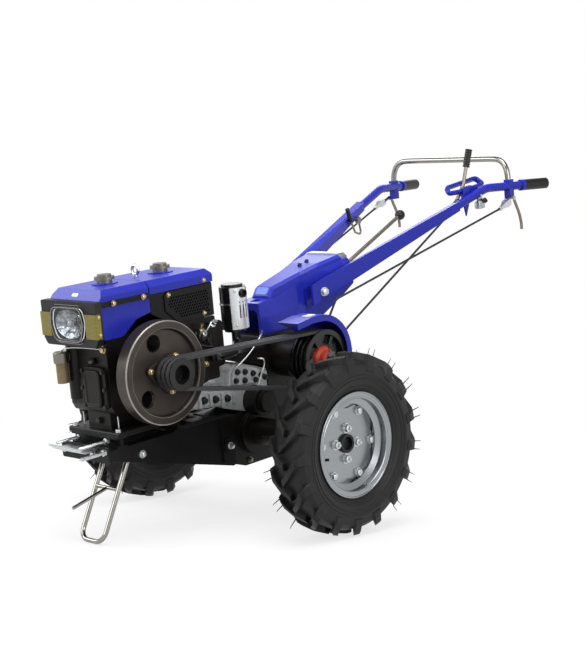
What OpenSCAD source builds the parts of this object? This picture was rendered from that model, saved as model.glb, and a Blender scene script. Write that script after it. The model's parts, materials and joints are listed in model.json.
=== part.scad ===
/* [Stance] */
// Nose-down lean of the chassis on its front stand, degrees
park_pitch = 7; // [6:0.5:8]

/* [Wheels] */
// Tyre diameter over the lugs
tyre_d = 584; // [560:2:610]
// Tyre width at the sidewalls
tyre_w = 140; // [130:1:150]
// Height of the tread lugs
lug_h = 20; // [14:1:26]
// Lugs on each half of the tread
lug_count = 17; // [14:1:18]
// Distance between the two tyre centre planes
track = 946; // [900:2:980]
// Rim diameter over the flanges
rim_d = 338; // [334:1:342]
// Rim width over the flanges
rim_w = 104; // [100:1:108]
// Diameter of the axle shafts
axle_d = 40; // [34:1:44]
// Radius of the hub's end ring
hub_r = 30; // [28:1:31]

/* [Frame] */
// Outside half width of the frame rails
rail_y = 110; // [106:1:114]
// Plate thickness of the rails
rail_t = 6; // [5:0.5:8]
// Height of the rail tops above the axle
rail_top = 88; // [84:1:92]
// Rear end of the rails ahead of the axle
rail_rear = 132; // [128:1:136]
// Front end of the rails ahead of the axle
rail_front = 652; // [646:1:660]
// Height of the engine bearers
bearer_h = 34; // [28:1:36]

/* [Engine] */
// Crankshaft ahead of the axle
crank_x = 475; // [468:1:482]
// Crankshaft above the axle
crank_z = 304; // [298:1:310]
// Front face of the crankcase ahead of the axle
case_front = 612; // [606:1:618]
// Top of the crankcase above the axle
case_top = 427; // [424:1:432]
// Flywheel diameter
flywheel_d = 322; // [300:2:330]
// Outer face of the flywheel from the centre plane
flywheel_y = 205; // [203:1:209]
// Crankshaft diameter
crank_d = 50; // [44:1:54]

/* [Belt drive] */
// Clutch shaft behind the axle
clutch_x = -159; // [-164:1:-154]
// Clutch shaft above the axle
clutch_z = 225; // [220:1:230]
// Outside diameter of the crank pulley
crank_pulley_d = 100; // [90:1:106]
// Outside diameter of the clutch pulley
clutch_pulley_d = 200; // [192:2:204]
// Number of belts side by side
belt_count = 3; // [2:1:3]
// Distance between belts
belt_pitch = 20; // [19:0.5:21]
// Belt width
belt_w = 13; // [11:0.5:14]
// Belt thickness
belt_h = 10; // [8:0.5:11]
// Middle of the belt set from the centre plane
belt_y = 243; // [242:1:246]
// Clutch shaft diameter
clutch_d = 30; // [26:1:34]

/* [Tank and hood] */
// Half width of the tank sides
tank_y = 118; // [114:1:122]
// Top of the tank above the axle
tank_top = 578; // [572:1:584]
// Front face of the tank ahead of the axle
tank_front = 640; // [636:1:646]
// Joint between tank and hood ahead of the axle
hood_front = 440; // [434:1:446]
// Rear face of the hood ahead of the axle
hood_rear = 174; // [170:1:180]
// Lower edge of the hood above the axle
hood_low = 536; // [530:1:540]
// Grille hole diameter
grille_hole = 7; // [5:0.5:8]
// Distance between grille holes
grille_pitch = 10.5; // [10:0.5:14]

/* [Handles] */
// Half width of the console at its front
console_y = 57; // [55:1:59]
// Thickness of the console sheet
console_t = 4; // [3:0.5:5]
// Diameter of the handlebar tubes
bar_d = 32; // [28:1:34]
// Hand grip diameter
grip_d = 41; // [38:1:46]
// Half distance between the grip ends
grip_y = 320; // [310:1:330]
// Rear end of the grips behind the axle
grip_x = -1400; // [-1420:2:-1380]
// Height of the grip ends above the axle
grip_z = 668; // [660:1:676]
// Diameter of the arch bar
arch_d = 22; // [18:1:25]

/* [Stand] */
// Stand pivot ahead of the axle
stand_x = 530; // [524:1:536]
// Stand pivot above the axle
stand_z = 52; // [50:1:56]
// Stand foot ahead of the axle
stand_foot_x = 672; // [660:1:684]
// Diameter of the stand rod
stand_d = 16; // [14:1:18]
// Half width of the stand legs
stand_y = 55; // [50:1:58]
// Diameter of the stand pin
stand_pin_d = 16; // [14:1:18]

/* [Fits] */
// Gap between seated pieces
seat_gap = 0.3; // [0.2:0.05:0.4]
// Radial clearance of turning shafts
run_gap = 0.05; // [0.02:0.01:0.1]

/* [Hidden] */
$fn = 72;
wheel_r = tyre_d / 2;
front_tip_x = 747;
front_tip_z = 118;
reach_front = front_tip_x * cos(park_pitch) + front_tip_z * sin(park_pitch);
reach_rear = -grip_x * cos(park_pitch) - grip_z * sin(park_pitch) + 4;
axle_x = (reach_rear - reach_front) / 2;
bearer_x = [366, 600];
bearer_z = rail_top;
engine_z = rail_top + bearer_h;
stand_foot_z = (stand_d / 2 - wheel_r + stand_foot_x * sin(park_pitch)) / cos(park_pitch);
case_z = 306.7;
belt_set_w = (belt_count - 1) * belt_pitch + belt_w + 13;
rim_r = rim_d / 2;
rim_h = rim_w / 2;
bead_r = rim_r - 17;
filler_x = [285, 513];
filler_seat = 3;
muffler_at = [22, 45];
guard_at = [-135, 240];
blue = "#2f36b8";
black = "#242526";
silver = "#b9bcbf";
steel = "#8c9094";

function unit(v) = v / norm(v);

// Corner of an outline rounded to radius r
function corner(p, a, b, r, steps) =
    let (u = unit(a - p), v = unit(b - p), ang = acos(u * v))
    let (c = p + unit(u + v) * r / sin(ang / 2), d = r / tan(ang / 2))
    let (s = p + u * d - c, e = p + v * d - c)
    let (a1 = atan2(s[1], s[0]), turn = (atan2(e[1], e[0]) - a1 + 540) % 360 - 180)
    [for (k = [0:steps]) c + r * [cos(a1 + turn * k / steps), sin(a1 + turn * k / steps)]];

// Outline from points [x, y, corner radius]
function rounded(pts, steps = 5) =
    [for (i = [0:len(pts) - 1])
        let (n = len(pts), p = pts[i], a = pts[(i + n - 1) % n], b = pts[(i + 1) % n])
        each (len(p) < 3
            ? [p]
            : corner([p[0], p[1]], [a[0], a[1]], [b[0], b[1]], p[2], steps))];

function box_outline(w, h, r) =
    rounded([[-w / 2, -h / 2, r], [w / 2, -h / 2, r], [w / 2, h / 2, r], [-w / 2, h / 2, r]]);

// Bend of a route in space
function bend(p, a, b, r, steps) =
    let (u = unit(a - p), v = unit(b - p), ang = acos(u * v))
    let (c = p + unit(u + v) * r / sin(ang / 2), d = r / tan(ang / 2))
    let (e1 = unit(p + u * d - c), w = p + v * d - c, e2 = unit(w - (w * e1) * e1))
    [for (k = [0:steps])
        let (t = (180 - ang) * k / steps)
        c + r * (cos(t) * e1 + sin(t) * e2)];

function route(pts, r, steps = 4) =
    [for (i = [0:len(pts) - 1])
        each (i == 0 || i == len(pts) - 1
            ? [pts[i]]
            : bend(pts[i], pts[i - 1], pts[i + 1], r, steps))];

function heading(p, i) =
    i == 0 ? unit(p[1] - p[0])
    : i == len(p) - 1 ? unit(p[i] - p[i - 1])
    : unit(unit(p[i + 1] - p[i]) + unit(p[i] - p[i - 1]));

// Solid through rings of points that turn anticlockwise about the way forward
module loft(rings) {
    n = len(rings[0]);
    m = len(rings);
    points = [for (ring = rings) each ring];
    walls = [for (i = [0:m - 2], k = [0:n - 1])
        let (j = (k + 1) % n)
        [i * n + k, (i + 1) * n + k, (i + 1) * n + j, i * n + j]];
    ends = [[for (k = [0:n - 1]) k], [for (k = [0:n - 1]) m * n - 1 - k]];
    polyhedron(points, concat(walls, ends));
}

// Round bar swept along a route, with up a direction the route never takes
module bar(path, r, sides = 12, up = [0, 1, 0]) {
    loft([for (i = [0:len(path) - 1])
        let (t = heading(path, i), a = unit(cross(up, t)), b = cross(t, a))
        [for (k = [0:sides - 1])
            path[i] + r * (cos(360 * k / sides) * a + sin(360 * k / sides) * b)]]);
}

// Ring across x from the [y, z] points of its left half, lowest first
function half_ring(x, half) = concat([for (p = half) [x, p[0], p[1]]],
    [for (i = [len(half) - 1:-1:0]) [x, -half[i][0], half[i][1]]]);

// Straight rod between two points
module rod(p, q, r) {
    d = q - p;
    translate(p) rotate([0, acos(d[2] / norm(d)), atan2(d[1], d[0])]) cylinder(h = norm(d), r = r);
}

// Chassis coordinates: axle at the origin, level as when the machine works
module chassis() {
    translate([axle_x, 0, wheel_r]) rotate([0, park_pitch, 0]) children();
}

// Side outline in x and z, thick from y0 to y1
module side_plate(pts, y0, y1) {
    translate([0, y1, 0]) rotate([90, 0, 0]) linear_extrude(y1 - y0) polygon(pts);
}

// Cross outline in y and z, long from x0 to x1
module cross_plate(pts, x0, x1) {
    translate([x0, 0, 0]) rotate([90, 0, 90]) linear_extrude(x1 - x0) polygon(pts);
}

// Round piece along y from y0 to y1
module disc_y(x, z, r, y0, y1) {
    translate([x, y0, z]) rotate([-90, 0, 0]) cylinder(h = y1 - y0, r = r);
}

// Turned piece about an axis along y
module turned_y(x, z, pts) {
    translate([x, 0, z]) rotate([-90, 0, 0]) rotate_extrude() polygon(pts);
}

module wheel(side) {
    translate([axle_x, 0, wheel_r]) mirror([0, side < 0 ? 1 : 0, 0]) translate([0, track / 2, 0])
        children();
}

module mirrored() {
    children();
    mirror([0, 1, 0]) children();
}

// Lug from the middle of the tread over the shoulder, its outer end at angle zero
module lug() {
    w = tyre_w / 2;
    crown = wheel_r - lug_h;
    sweep = 15;
    // Stations: y, angle, top radius, foot radius, half width of the top, half width of the foot
    rows = [[-8, -sweep, wheel_r - 1, crown - 5, 10, 14],
        [0.36 * w, -0.6 * sweep, wheel_r, crown - 5, 11, 15],
        [0.74 * w, -0.1 * sweep, wheel_r - 4, crown - 9, 14, 18],
        [0.9 * w, 0, wheel_r - 15, crown - 24, 15, 19],
        [w, 0, crown - 18, crown - 38, 13, 17]];
    loft([for (s = rows)
        [for (q = [[-s[5], s[3]], [s[5], s[3]], [s[4], s[2]], [-s[4], s[2]]])
            let (a = s[1] + q[0] / q[1] * 180 / PI)
            [q[1] * cos(a), s[0], q[1] * sin(a)]]]);
}

module tyre() {
    w = tyre_w / 2;
    h = wheel_r - lug_h - rim_r;
    half = [[bead_r + seat_gap, rim_h - 26], [bead_r + seat_gap, rim_h - 10.5], [bead_r + 5, rim_h - 6.5],
        [rim_r + 1, rim_h - 4.5], [rim_r + 0.26 * h, w - 7], [rim_r + 0.55 * h, w], [rim_r + 0.81 * h, w - 5],
        [rim_r + 0.94 * h, w - 18], [rim_r + h, w - 38]];
    inner = [[rim_r + h - 14, w - 34], [rim_r + 0.55 * h, w - 10], [rim_r + 0.2 * h, w - 17],
        [bead_r + 12, rim_h - 16], [bead_r + 10, rim_h - 26]];
    outline = concat(half, [for (i = [len(half) - 1:-1:0]) [half[i][0], -half[i][1]]],
        [for (i = [len(inner) - 1:-1:0]) [inner[i][0], -inner[i][1]]], inner);
    rotate([-90, 0, 0]) rotate_extrude() polygon(outline);
    for (k = [0:lug_count - 1]) {
        rotate([0, -17 - 360 / lug_count * k, 0]) lug();
        rotate([0, -17 - 360 / lug_count * (k + 0.5), 0]) mirror([0, 1, 0]) lug();
    }
}

// Outline of the wheel centre with a lobe for each bolt
function lobed(r, dip) = rounded([for (k = [0:5])
    each [[r * cos(60 * k - 11), r * sin(60 * k - 11), 12], [r * cos(60 * k + 11), r * sin(60 * k + 11), 12],
        [dip * cos(60 * k + 30), dip * sin(60 * k + 30), 40]]], 4);

module rim() {
    wall = 4;
    half = [[rim_r, rim_h], [rim_r, rim_h - 4], [bead_r + 4, rim_h - 6], [bead_r, rim_h - 10],
        [bead_r, rim_h - 28], [bead_r - 20, rim_h - 36]];
    inner = [[bead_r - 20 - wall, rim_h - 34], [bead_r - wall, rim_h - 25],
        [bead_r - wall, rim_h - 6], [bead_r, rim_h - 2], [rim_r - wall, rim_h]];
    outline = concat(half, [for (i = [len(half) - 1:-1:0]) [half[i][0], -half[i][1]]],
        [for (i = [len(inner) - 1:-1:0]) [inner[i][0], -inner[i][1]]], inner);
    rotate([-90, 0, 0]) {
        rotate_extrude() polygon(outline);
        rotate_extrude() polygon([[84, -6], [bead_r - 21, -6], [bead_r - 21, 0.5], [84, 0.5]]);
        linear_extrude(6) difference() {
            polygon(lobed(bead_r - 25, bead_r - 42));
            circle(r = hub_r + 1);
        }
        for (k = [0:3])
            rotate([0, 0, k * 90]) translate([49, 0, 5]) {
                cylinder(h = 3, r = 15);
                cylinder(h = 15, r = 12, $fn = 6);
            }
    }
}

module axle() {
    rotate([-90, 0, 0]) {
        translate([0, 0, 150 - track / 2]) cylinder(h = track / 2 - 152, d = axle_d);
        translate([0, 0, 298 - track / 2]) cylinder(h = track / 2 - 300, r = 31);
        translate([0, 0, -12]) cylinder(h = 12 - seat_gap, r = 62);
        difference() {
            translate([0, 0, -6]) cylinder(h = 22, r = hub_r);
            cylinder(h = 20, r = hub_r - 8);
        }
    }
}

module left_tyre() color("#2b2b2c") wheel(1) tyre();
module right_tyre() color("#2b2b2c") wheel(-1) tyre();
module left_rim() color(silver) wheel(1) rim();
module right_rim() color(silver) wheel(-1) rim();
module left_axle() color(black) wheel(1) axle();
module right_axle() color(black) wheel(-1) axle();

module rail() {
    low_rear = -86;
    low_front = 58;
    difference() {
        union() {
            side_plate(rounded([[rail_rear, low_rear, 14], [rail_front, low_front],
                [rail_front, rail_top], [rail_rear, rail_top]]), rail_y - rail_t, rail_y);
            side_plate([[rail_rear, rail_top - rail_t], [rail_front, rail_top - rail_t],
                [rail_front, rail_top], [rail_rear, rail_top]], rail_y - 46, rail_y);
            side_plate([[rail_rear + 100, low_rear + 27.7], [rail_front, low_front],
                [rail_front, low_front + rail_t], [rail_rear + 100, low_rear + 27.7 + rail_t]],
                rail_y - 24, rail_y);
            side_plate(rounded([[rail_rear + 8, low_rear + 8, 8], [rail_rear + 58, low_rear + 26, 8],
                [rail_rear + 58, rail_top - 2], [rail_rear + 8, rail_top - 2]]), rail_y - 1, rail_y + 5);
            disc_y(rail_rear + 33, -8, 22, rail_y + 4, rail_y + 12);
        }
        disc_y(stand_x, stand_z, stand_pin_d / 2 + seat_gap / 2, 0, rail_y + 1);
    }
}

module frame_rails() color(black) chassis() mirrored() rail();

module front_crossmember() color(black) chassis()
    cross_plate(rounded([[-rail_y - 6, 50, 6], [rail_y + 2, 50, 6], [rail_y + 2, 101], [-rail_y - 6, 101]]),
        rail_front + seat_gap, rail_front + 6);

module tow_plate() color(steel) chassis() {
    x = rail_front + 6 + seat_gap;
    z = rail_top;
    t = 6;
    tip = front_tip_x;
    difference() {
        intersection() {
            side_plate([[x, z], [tip - 40, z], [tip, front_tip_z - t], [tip, front_tip_z], [tip - 42, z + t],
                [x, z + t]], -90, 70);
            translate([0, 0, z - 1]) linear_extrude(60)
                polygon(rounded([[x - 1, -80], [tip - 30, -80, 10], [tip + 1, -62, 6], [tip + 1, 30, 6],
                    [tip - 25, 62, 6], [x - 1, 62]]));
        }
        translate([tip - 20, -16, z]) linear_extrude(60) polygon(box_outline(14, 54, 6.9));
    }
    translate([x, 98, z - 2]) rotate([0, 90, 0]) {
        cylinder(h = 92, r = 6);
        cylinder(h = 10, r = 11, $fn = 6);
    }
}

module engine_bearers() color(black) chassis() {
    for (x = bearer_x)
        side_plate([[x - 20, bearer_z], [x + 20, bearer_z], [x + 20, bearer_z + 6], [x + 6, bearer_z + 6],
            [x + 6, engine_z - 6], [x + 20, engine_z - 6], [x + 20, engine_z], [x - 20, engine_z],
            [x - 20, engine_z - 6], [x - 6, engine_z - 6], [x - 6, bearer_z + 6],
            [x - 20, bearer_z + 6]], -rail_y, rail_y);
}

module gearbox() color(black) chassis() {
    difference() {
        union() {
            side_plate(rounded([[140, -80, 10], [140, 74], [-75, 74], [-75, case_z, 12], [-268, case_z, 12],
                [-268, 12, 20], [-235, -75, 25], [-150, -108, 20], [60, -108, 30]]), -75, 75);
            side_plate(rounded([[205, -60, 6], [205, 70, 6], [rail_rear - 4, 70], [rail_rear - 4, -76]]),
                -rail_y + rail_t + seat_gap, rail_y - rail_t - seat_gap);
            mirrored() {
                disc_y(0, 0, 46, 70, 276);
                disc_y(0, 0, 60, 276, 290);
                disc_y(0, 0, 78, 73, 92);
            }
            disc_y(clutch_x, clutch_z, 70, 70, 176);
            disc_y(clutch_x, clutch_z, 48, 170, 196);
            side_plate(rounded([[-76, 204], [56, 249], [70, 250, 4], [70, 274, 6], [-76, 274]]), -30, 84);
            disc_y(-4, 104, 50, 72 + seat_gap, 130);
            disc_y(-4, 104, 36, 125, 150);
        }
        mirrored() disc_y(0, 0, axle_d / 2 + run_gap, 140, 300);
        disc_y(clutch_x, clutch_z, clutch_d / 2 + run_gap, 110, 200);
    }
}

module gear_housing() color(silver) chassis() {
    side_plate(rounded([[-74, 74 + seat_gap], [40, 74 + seat_gap], [139, 106, 8], [139, 168, 8],
        [100, 178, 6], [94, 222, 8], [58, 243, 10], [-74, 198]]), -72, 72);
    side_plate(rounded([[64, 106], [64, 150], [254, 182, 10], [264, 128, 8]]), -64, 70);
    side_plate(rounded([[62, 168, 8], [96, 176, 8], [90, 216, 8], [58, 236, 8], [-66, 192, 8],
        [-66, 160, 8]]), 70, 84);
    for (x = [88, 140, 192, 240])
        side_plate([[x - 5, 112 + (x - 64) * 0.11], [x + 5, 112 + (x - 64) * 0.11],
            [x + 5, 146 + (x - 64) * 0.16], [x - 5, 146 + (x - 64) * 0.16]], 69, 82);
}

module rear_hitch() color(black) chassis() difference() {
    union() {
        side_plate([[-268.3, 16], [-268.3, 112], [-284, 112], [-284, 16]], -56, 56);
        translate([0, 0, 20]) linear_extrude(14) hitch_ear();
        translate([0, 0, 74]) linear_extrude(14) hitch_ear();
    }
    translate([-332, 0, 0]) cylinder(h = 120, r = 10.5);
}

module hitch_ear() {
    polygon(rounded([[-282, -42], [-282, 42], [-340, 30, 16], [-356, 0, 18], [-340, -30, 16]]));
}

module crankcase() color(black) chassis() difference() {
    union() {
        side_plate(rounded([[330, 190, 10], [case_front - 12, 190, 14], [case_front, 214, 12],
            [case_front, case_top - 16, 10], [case_front - 14, case_top, 6], [206, case_top],
            [206, 214, 10]]), -100, 95);
        side_plate([[350, engine_z], [case_front - 20, engine_z], [case_front - 20, 200], [350, 200]],
            -52, 56);
        side_plate(rounded([[340, engine_z], [620, engine_z], [620, engine_z + 16, 6],
            [340, engine_z + 16, 6]]), -rail_y - 10, rail_y + 10);
        disc_y(crank_x, crank_z, 84, 90, 112);
        disc_y(crank_x, crank_z, 60, 105, 146);
        translate([case_front - 10, -74, 230]) cylinder(h = 170, r = 26);
    }
    disc_y(crank_x, crank_z, crank_d / 2 + run_gap, 50, 150);
}

module crankcase_cover() color(black) chassis()
    cross_plate([for (p = box_outline(116, 134, 26)) p + [34, 272]], case_front + seat_gap, case_front + 13);

module timing_cover() color(black) chassis() {
    side_plate(rounded([[400, 190, 40], [585, 190, 40], [585, 400, 50], [420, 400, 50], [360, 300, 40]]),
        -136, -100 - seat_gap);
    disc_y(crank_x, crank_z, 26, -160, -130);
}

module cylinder_head() color(black) chassis() {
    side_plate(rounded([[150, 214, 8], [206 - seat_gap, 214], [206 - seat_gap, 420], [150, 420, 8]]),
        -88, 88);
    side_plate(rounded([[98, 246, 14], [151, 240], [151, 400], [98, 394, 14]]), -64, 64);
}

module muffler() color(black) chassis() {
    x = muffler_at[0];
    y = muffler_at[1];
    translate([x, y, 350]) cylinder(h = 142, r = 44);
    translate([x, y, 342]) cylinder(h = 158, r = 36);
    difference() {
        disc_y(x, 470, 13, y + 30, y + 56);
        disc_y(x, 470, 10, y + 46, y + 60);
    }
    bar(route([[x, y, 345], [x, y, 300], [100, 112, 290], [178, 112, 290], [178, 88.3, 290]], 22), 15, 14,
        [1, -2, 0.4]);
}

module muffler_shield() color(silver) chassis() difference() {
    x = muffler_at[0];
    y = muffler_at[1];
    translate([x, y, 352]) cylinder(h = 138, r = 47);
    translate([x, y, 351]) cylinder(h = 140, r = 44 + seat_gap);
    translate([x - 60, y - 60, 340]) cube([120, 87, 160]);
    disc_y(x, 470, 15, y, y + 60);
    for (k = [-1:1])
        translate([x + 13 * k - 2.5, y, 388]) cube([5, 60, 56]);
}

module air_cleaner() color(black) chassis() {
    translate([60, -140, 340]) cylinder(h = 120, r = 54);
    translate([60, -140, 455]) cylinder(h = 16, r = 58);
    bar(route([[60, -140, 345], [60, -140, 300], [178, -140, 300], [178, -88.3, 300]], 24), 17, 14,
        [1, 2, 0.4]);
}

module fuel_filter() color("#a08a58") chassis() {
    x = case_front + 40;
    translate([x, -78, 287]) cylinder(h = 70, r = 19);
    translate([x, -78, 350]) cylinder(h = 33, r = 23);
    translate([case_front + 16 + seat_gap, -84, 356]) cube([20, 20, 22]);
}

module fuel_tank() color(blue) chassis() {
    translate([filler_x[1], 0, tank_top - 4]) cylinder(h = 4 + filler_seat, r = 41);
    tank_body();
}

module tank_body() intersection() {
    side_plate(rounded([[tank_front, case_top, 12], [tank_front, tank_top - 34], [tank_front - 26, tank_top],
        [hood_front + 1, tank_top], [hood_front + 1, 482], [500, 470, 40], [556, case_top, 40]]), -130, 130);
    cross_plate(rounded([[-tank_y, case_top - 2], [tank_y, case_top - 2], [tank_y, tank_top - 20, 6],
        [tank_y - 16, tank_top, 6], [-tank_y + 16, tank_top, 6], [-tank_y, tank_top - 20, 6]]),
        hood_front - 40, tank_front + 60);
}

module tank_bands() color(black) chassis() mirrored() {
    side_plate([[hood_front + 2, 527], [tank_front, 527], [tank_front, 542], [hood_front + 2, 542]],
        tank_y + seat_gap, tank_y + 6);
    for (x = [470, 590])
        disc_y(x, 534.5, 6, tank_y + 4, tank_y + 11);
}

module radiator() color(black) chassis() difference() {
    side_plate(rounded([[hood_rear + 2, case_top], [350, case_top], [hood_front - 4, 474],
        [hood_front - 4, hood_low - seat_gap], [hood_rear + 2, hood_low - seat_gap]]),
        -tank_y + 4, tank_y - 4);
    mirrored() side_plate(grille_field(11), tank_y - 16, tank_y);
}

function grille_field(inset) =
    let (x0 = hood_rear + 4 + inset, x1 = hood_front - 60 - inset, z0 = case_top + 2 + inset,
        z1 = hood_low - 4 - inset)
    [[x0, z0], [x1 - 50, z0], [x1, z0 + 44], [x1, z1 - 10], [x1 - 14, z1], [x0, z1]];

// True where a point lies inside a convex outline that turns anticlockwise
function inside(p, pts) = min([for (i = [0:len(pts) - 1])
    let (a = pts[i], b = pts[(i + 1) % len(pts)])
    (b[0] - a[0]) * (p[1] - a[1]) - (b[1] - a[1]) * (p[0] - a[0])]) > 0;

module radiator_grilles() color(black) chassis() mirrored()
    translate([0, tank_y, 0]) rotate([90, 0, 0]) linear_extrude(4 - seat_gap) difference() {
        polygon(grille_field(0));
        for (i = [0:18], j = [0:9]) {
            at = [hood_rear + 26 + (i + j % 2 / 2) * grille_pitch, case_top + 19 + j * grille_pitch * 0.87];
            if (inside(at, grille_field(12 + grille_hole / 2)))
                translate(at) circle(d = grille_hole, $fn = 16);
        }
    }

module hood() color(blue) chassis() {
    translate([filler_x[0], 0, tank_top - 4]) cylinder(h = 4 + filler_seat, r = 41);
    hood_body();
}

module hood_body() intersection() {
    side_plate(rounded([[hood_rear, hood_low], [hood_front - 1, hood_low], [hood_front - 1, tank_top],
        [hood_rear + 14, tank_top], [hood_rear, tank_top - 14]]), -130, 130);
    cross_plate(rounded([[-tank_y - 2, hood_low - 10], [tank_y + 2, hood_low - 10],
        [tank_y + 2, tank_top - 20, 6], [tank_y - 16, tank_top, 6], [-tank_y + 16, tank_top, 6],
        [-tank_y - 2, tank_top - 20, 6]]),
        hood_rear - 74, hood_front + 60);
}

module filler_caps() color(steel) chassis() for (x = filler_x)
    translate([x, 0, tank_top + filler_seat + seat_gap]) {
        cylinder(h = 12, r = 24);
        translate([0, 0, 10]) cylinder(h = 9, r = 32);
        translate([0, 0, 18]) cylinder(h = 8, r = 22);
    }

module lifting_eye() color(steel) chassis() translate([388, 0, tank_top + seat_gap]) {
    cylinder(h = 10, r = 9);
    translate([0, 0, 23]) rotate([0, 90, 0]) rotate_extrude()
        polygon([for (k = [0:7]) [14 + 5 * cos(45 * k), 5 * sin(45 * k)]]);
}

// Outline of the headlamp, set in by a wall
function lamp_line(t) = rounded([[-62 + t, 425 + t, 30], [62 - t, 425 + t, 30], [80 - t, 478, 60],
    [70 - t, 531 - t, 26], [-70 + t, 531 - t, 26], [-80 + t, 478, 60]]);

module lamp_housing() color(black) chassis() difference() {
    cross_plate(rounded([[-116, 410, 14], [116, 410, 14], [131, 432, 10], [131, 548, 6], [-131, 548, 6],
        [-131, 432, 10]]), tank_front + seat_gap, tank_front + 26);
    cross_plate(lamp_line(5), tank_front + 5, tank_front + 40);
}

module lamp_lens() color("#dfe4e6") chassis() difference() {
    cross_plate(lamp_line(0), tank_front + 26 + seat_gap, tank_front + 36);
    cross_plate(lamp_line(5), tank_front, tank_front + 32);
}

// Side lamps wrap round the corners of the lamp housing
module side_lamps() color("#a8a030") chassis() mirrored() translate([0, 0, 438]) linear_extrude(74)
    polygon(rounded([[tank_front + 26 + seat_gap, 83], [tank_front + 32, 83, 3], [tank_front + 32, 136, 7],
        [tank_front + 10, 136, 3], [tank_front + 10, 131 + seat_gap],
        [tank_front + 26 + seat_gap, 131 + seat_gap]]));

module flywheel() color("#4b4440") chassis() {
    y = flywheel_y;
    r = flywheel_d / 2;
    difference() {
        turned_y(crank_x, crank_z, [[0, 60], [crank_d / 2, 60], [crank_d / 2, y - 53], [46, y - 53],
            [46, y - 33], [r - 32, y - 33], [r - 28, y - 45], [r, y - 45], [r, y - 3], [r - 3, y],
            [r - 24, y], [r - 30, y - 17], [46, y - 17], [46, y], [0, y]]);
        for (a = [74, 194, 314])
            disc_y(crank_x + 98 * cos(a), crank_z + 98 * sin(a), 27, y - 60, y + 10);
    }
    side_plate(rounded([for (a = [14, 134, 254]) [crank_x + 88 * cos(a), crank_z + 88 * sin(a), 17]]),
        y - 14, y - 3);
}

function groove(r, depth, y) = [[r, y - 8.5], [r - depth, y - 7], [r - depth, y + 7], [r, y + 8.5]];

function belt_planes() = [for (i = [0:belt_count - 1]) belt_y + (i - (belt_count - 1) / 2) * belt_pitch];

module crank_pulley() color(black) chassis() {
    r = crank_pulley_d / 2;
    y1 = belt_y + belt_set_w / 2;
    turned_y(crank_x, crank_z, concat([[0, flywheel_y + seat_gap], [r, flywheel_y + seat_gap]],
        [for (y = belt_planes()) each groove(r, belt_h + 1, y)], [[r, y1], [30, y1], [30, y1 - 36],
        [0, y1 - 36]]));
}

// Side outline of a belt that lies at the two radii
function belt_line(r1, r2, n = 24) =
    let (dx = crank_x - clutch_x, dz = crank_z - clutch_z, f = atan2(dz, dx))
    let (t = acos((r2 - r1) / norm([dx, dz])))
    concat([for (k = [0:n]) let (a = f - t + 2 * t * k / n) [crank_x + r1 * cos(a), crank_z + r1 * sin(a)]],
        [for (k = [0:n])
            let (a = f + t + (360 - 2 * t) * k / n)
            [clutch_x + r2 * cos(a), clutch_z + r2 * sin(a)]]);

module drive_belts() color("#1d1d1e") chassis() for (y = belt_planes())
    difference() {
        side_plate(belt_line(crank_pulley_d / 2, clutch_pulley_d / 2), y - belt_w / 2, y + belt_w / 2);
        side_plate(belt_line(crank_pulley_d / 2 - belt_h, clutch_pulley_d / 2 - belt_h), y - belt_w,
            y + belt_w);
    }

module clutch_pulley() color(black) chassis() {
    r = clutch_pulley_d / 2;
    y0 = belt_y - belt_set_w / 2;
    y1 = belt_y + belt_set_w / 2;
    turned_y(clutch_x, clutch_z, concat([[0, 112], [clutch_d / 2, 112], [clutch_d / 2, y0], [r, y0]],
        [for (y = belt_planes()) each groove(r, belt_h + 1, y)], [[r, y1], [r - 17, y1], [r - 20, y1 - 20],
        [0, y1 - 20]]));
    for (a = [0:60:300])
        translate([clutch_x, y1 - 21, clutch_z]) rotate([0, a, 0])
            translate([52, 0, -5]) cube([r - 71, 15, 10]);
}

module clutch_hub() color("#c8442a") chassis() {
    y1 = belt_y + belt_set_w / 2 - 20 + seat_gap;
    turned_y(clutch_x, clutch_z, [[0, y1], [46, y1], [42, y1 + 10], [30, y1 + 15], [30, y1 + 32],
        [17, y1 + 32], [17, y1 + 20], [0, y1 + 20]]);
}

// Top line of the belt guard, set in by a wall
function guard_line(inset) = concat([[-25, 369 - inset], [-95, 379 - inset]],
    [for (k = [0:12]) let (t = 90 + 8 * k) guard_at + (139 - inset) * [cos(t), sin(t)]]);

function reversed(v) = [for (i = [len(v) - 1:-1:0]) v[i]];

module belt_guard() color(blue) chassis() {
    y0 = 196 + seat_gap;
    side_plate(concat(guard_line(0), reversed(guard_line(3))), y0, 288);
    side_plate(concat(guard_line(0), reversed(guard_line(21))), 285, 288);
    difference() {
        union() {
            side_plate(guard_line(0), y0, y0 + 3);
            side_plate([[-200, 225], [-118, 225], [-118, 340], [-200, 320]], y0, y0 + 3);
            disc_y(clutch_x, clutch_z, 46, y0, y0 + 3);
        }
        disc_y(clutch_x, clutch_z, clutch_d / 2 + 6, y0 - 10, y0 + 10);
    }
}

// Console stations: x, half width, lower edge, crease, shoulder half width, shoulder
function console_rows() = [
    [-505, arm_in(-505) - seat_gap, 420, 470, 92, 507], [-470, arm_in(-470) - seat_gap, 393, 450, 90, 507],
    [-375, arm_in(-375) - seat_gap, 330, 418, 76, 486], [-300, arm_in(-300) - seat_gap, 314, 393, 60, 462],
    [-268, console_y + 4, case_z + seat_gap, 383, 57, 452],
    [-214, console_y + 3, case_z + seat_gap, 367, 52, 436],
    [-165, console_y + 1.5, case_z + seat_gap, 366, 50, 421],
    [-85, console_y, case_z + seat_gap, 366, 52, 414]];

function console_half(r, t, drop) =
    [[r[1] - t, r[2] - drop], [r[1] - t, r[3] - t / 2], [r[4] - t, r[5] - t]];

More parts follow.
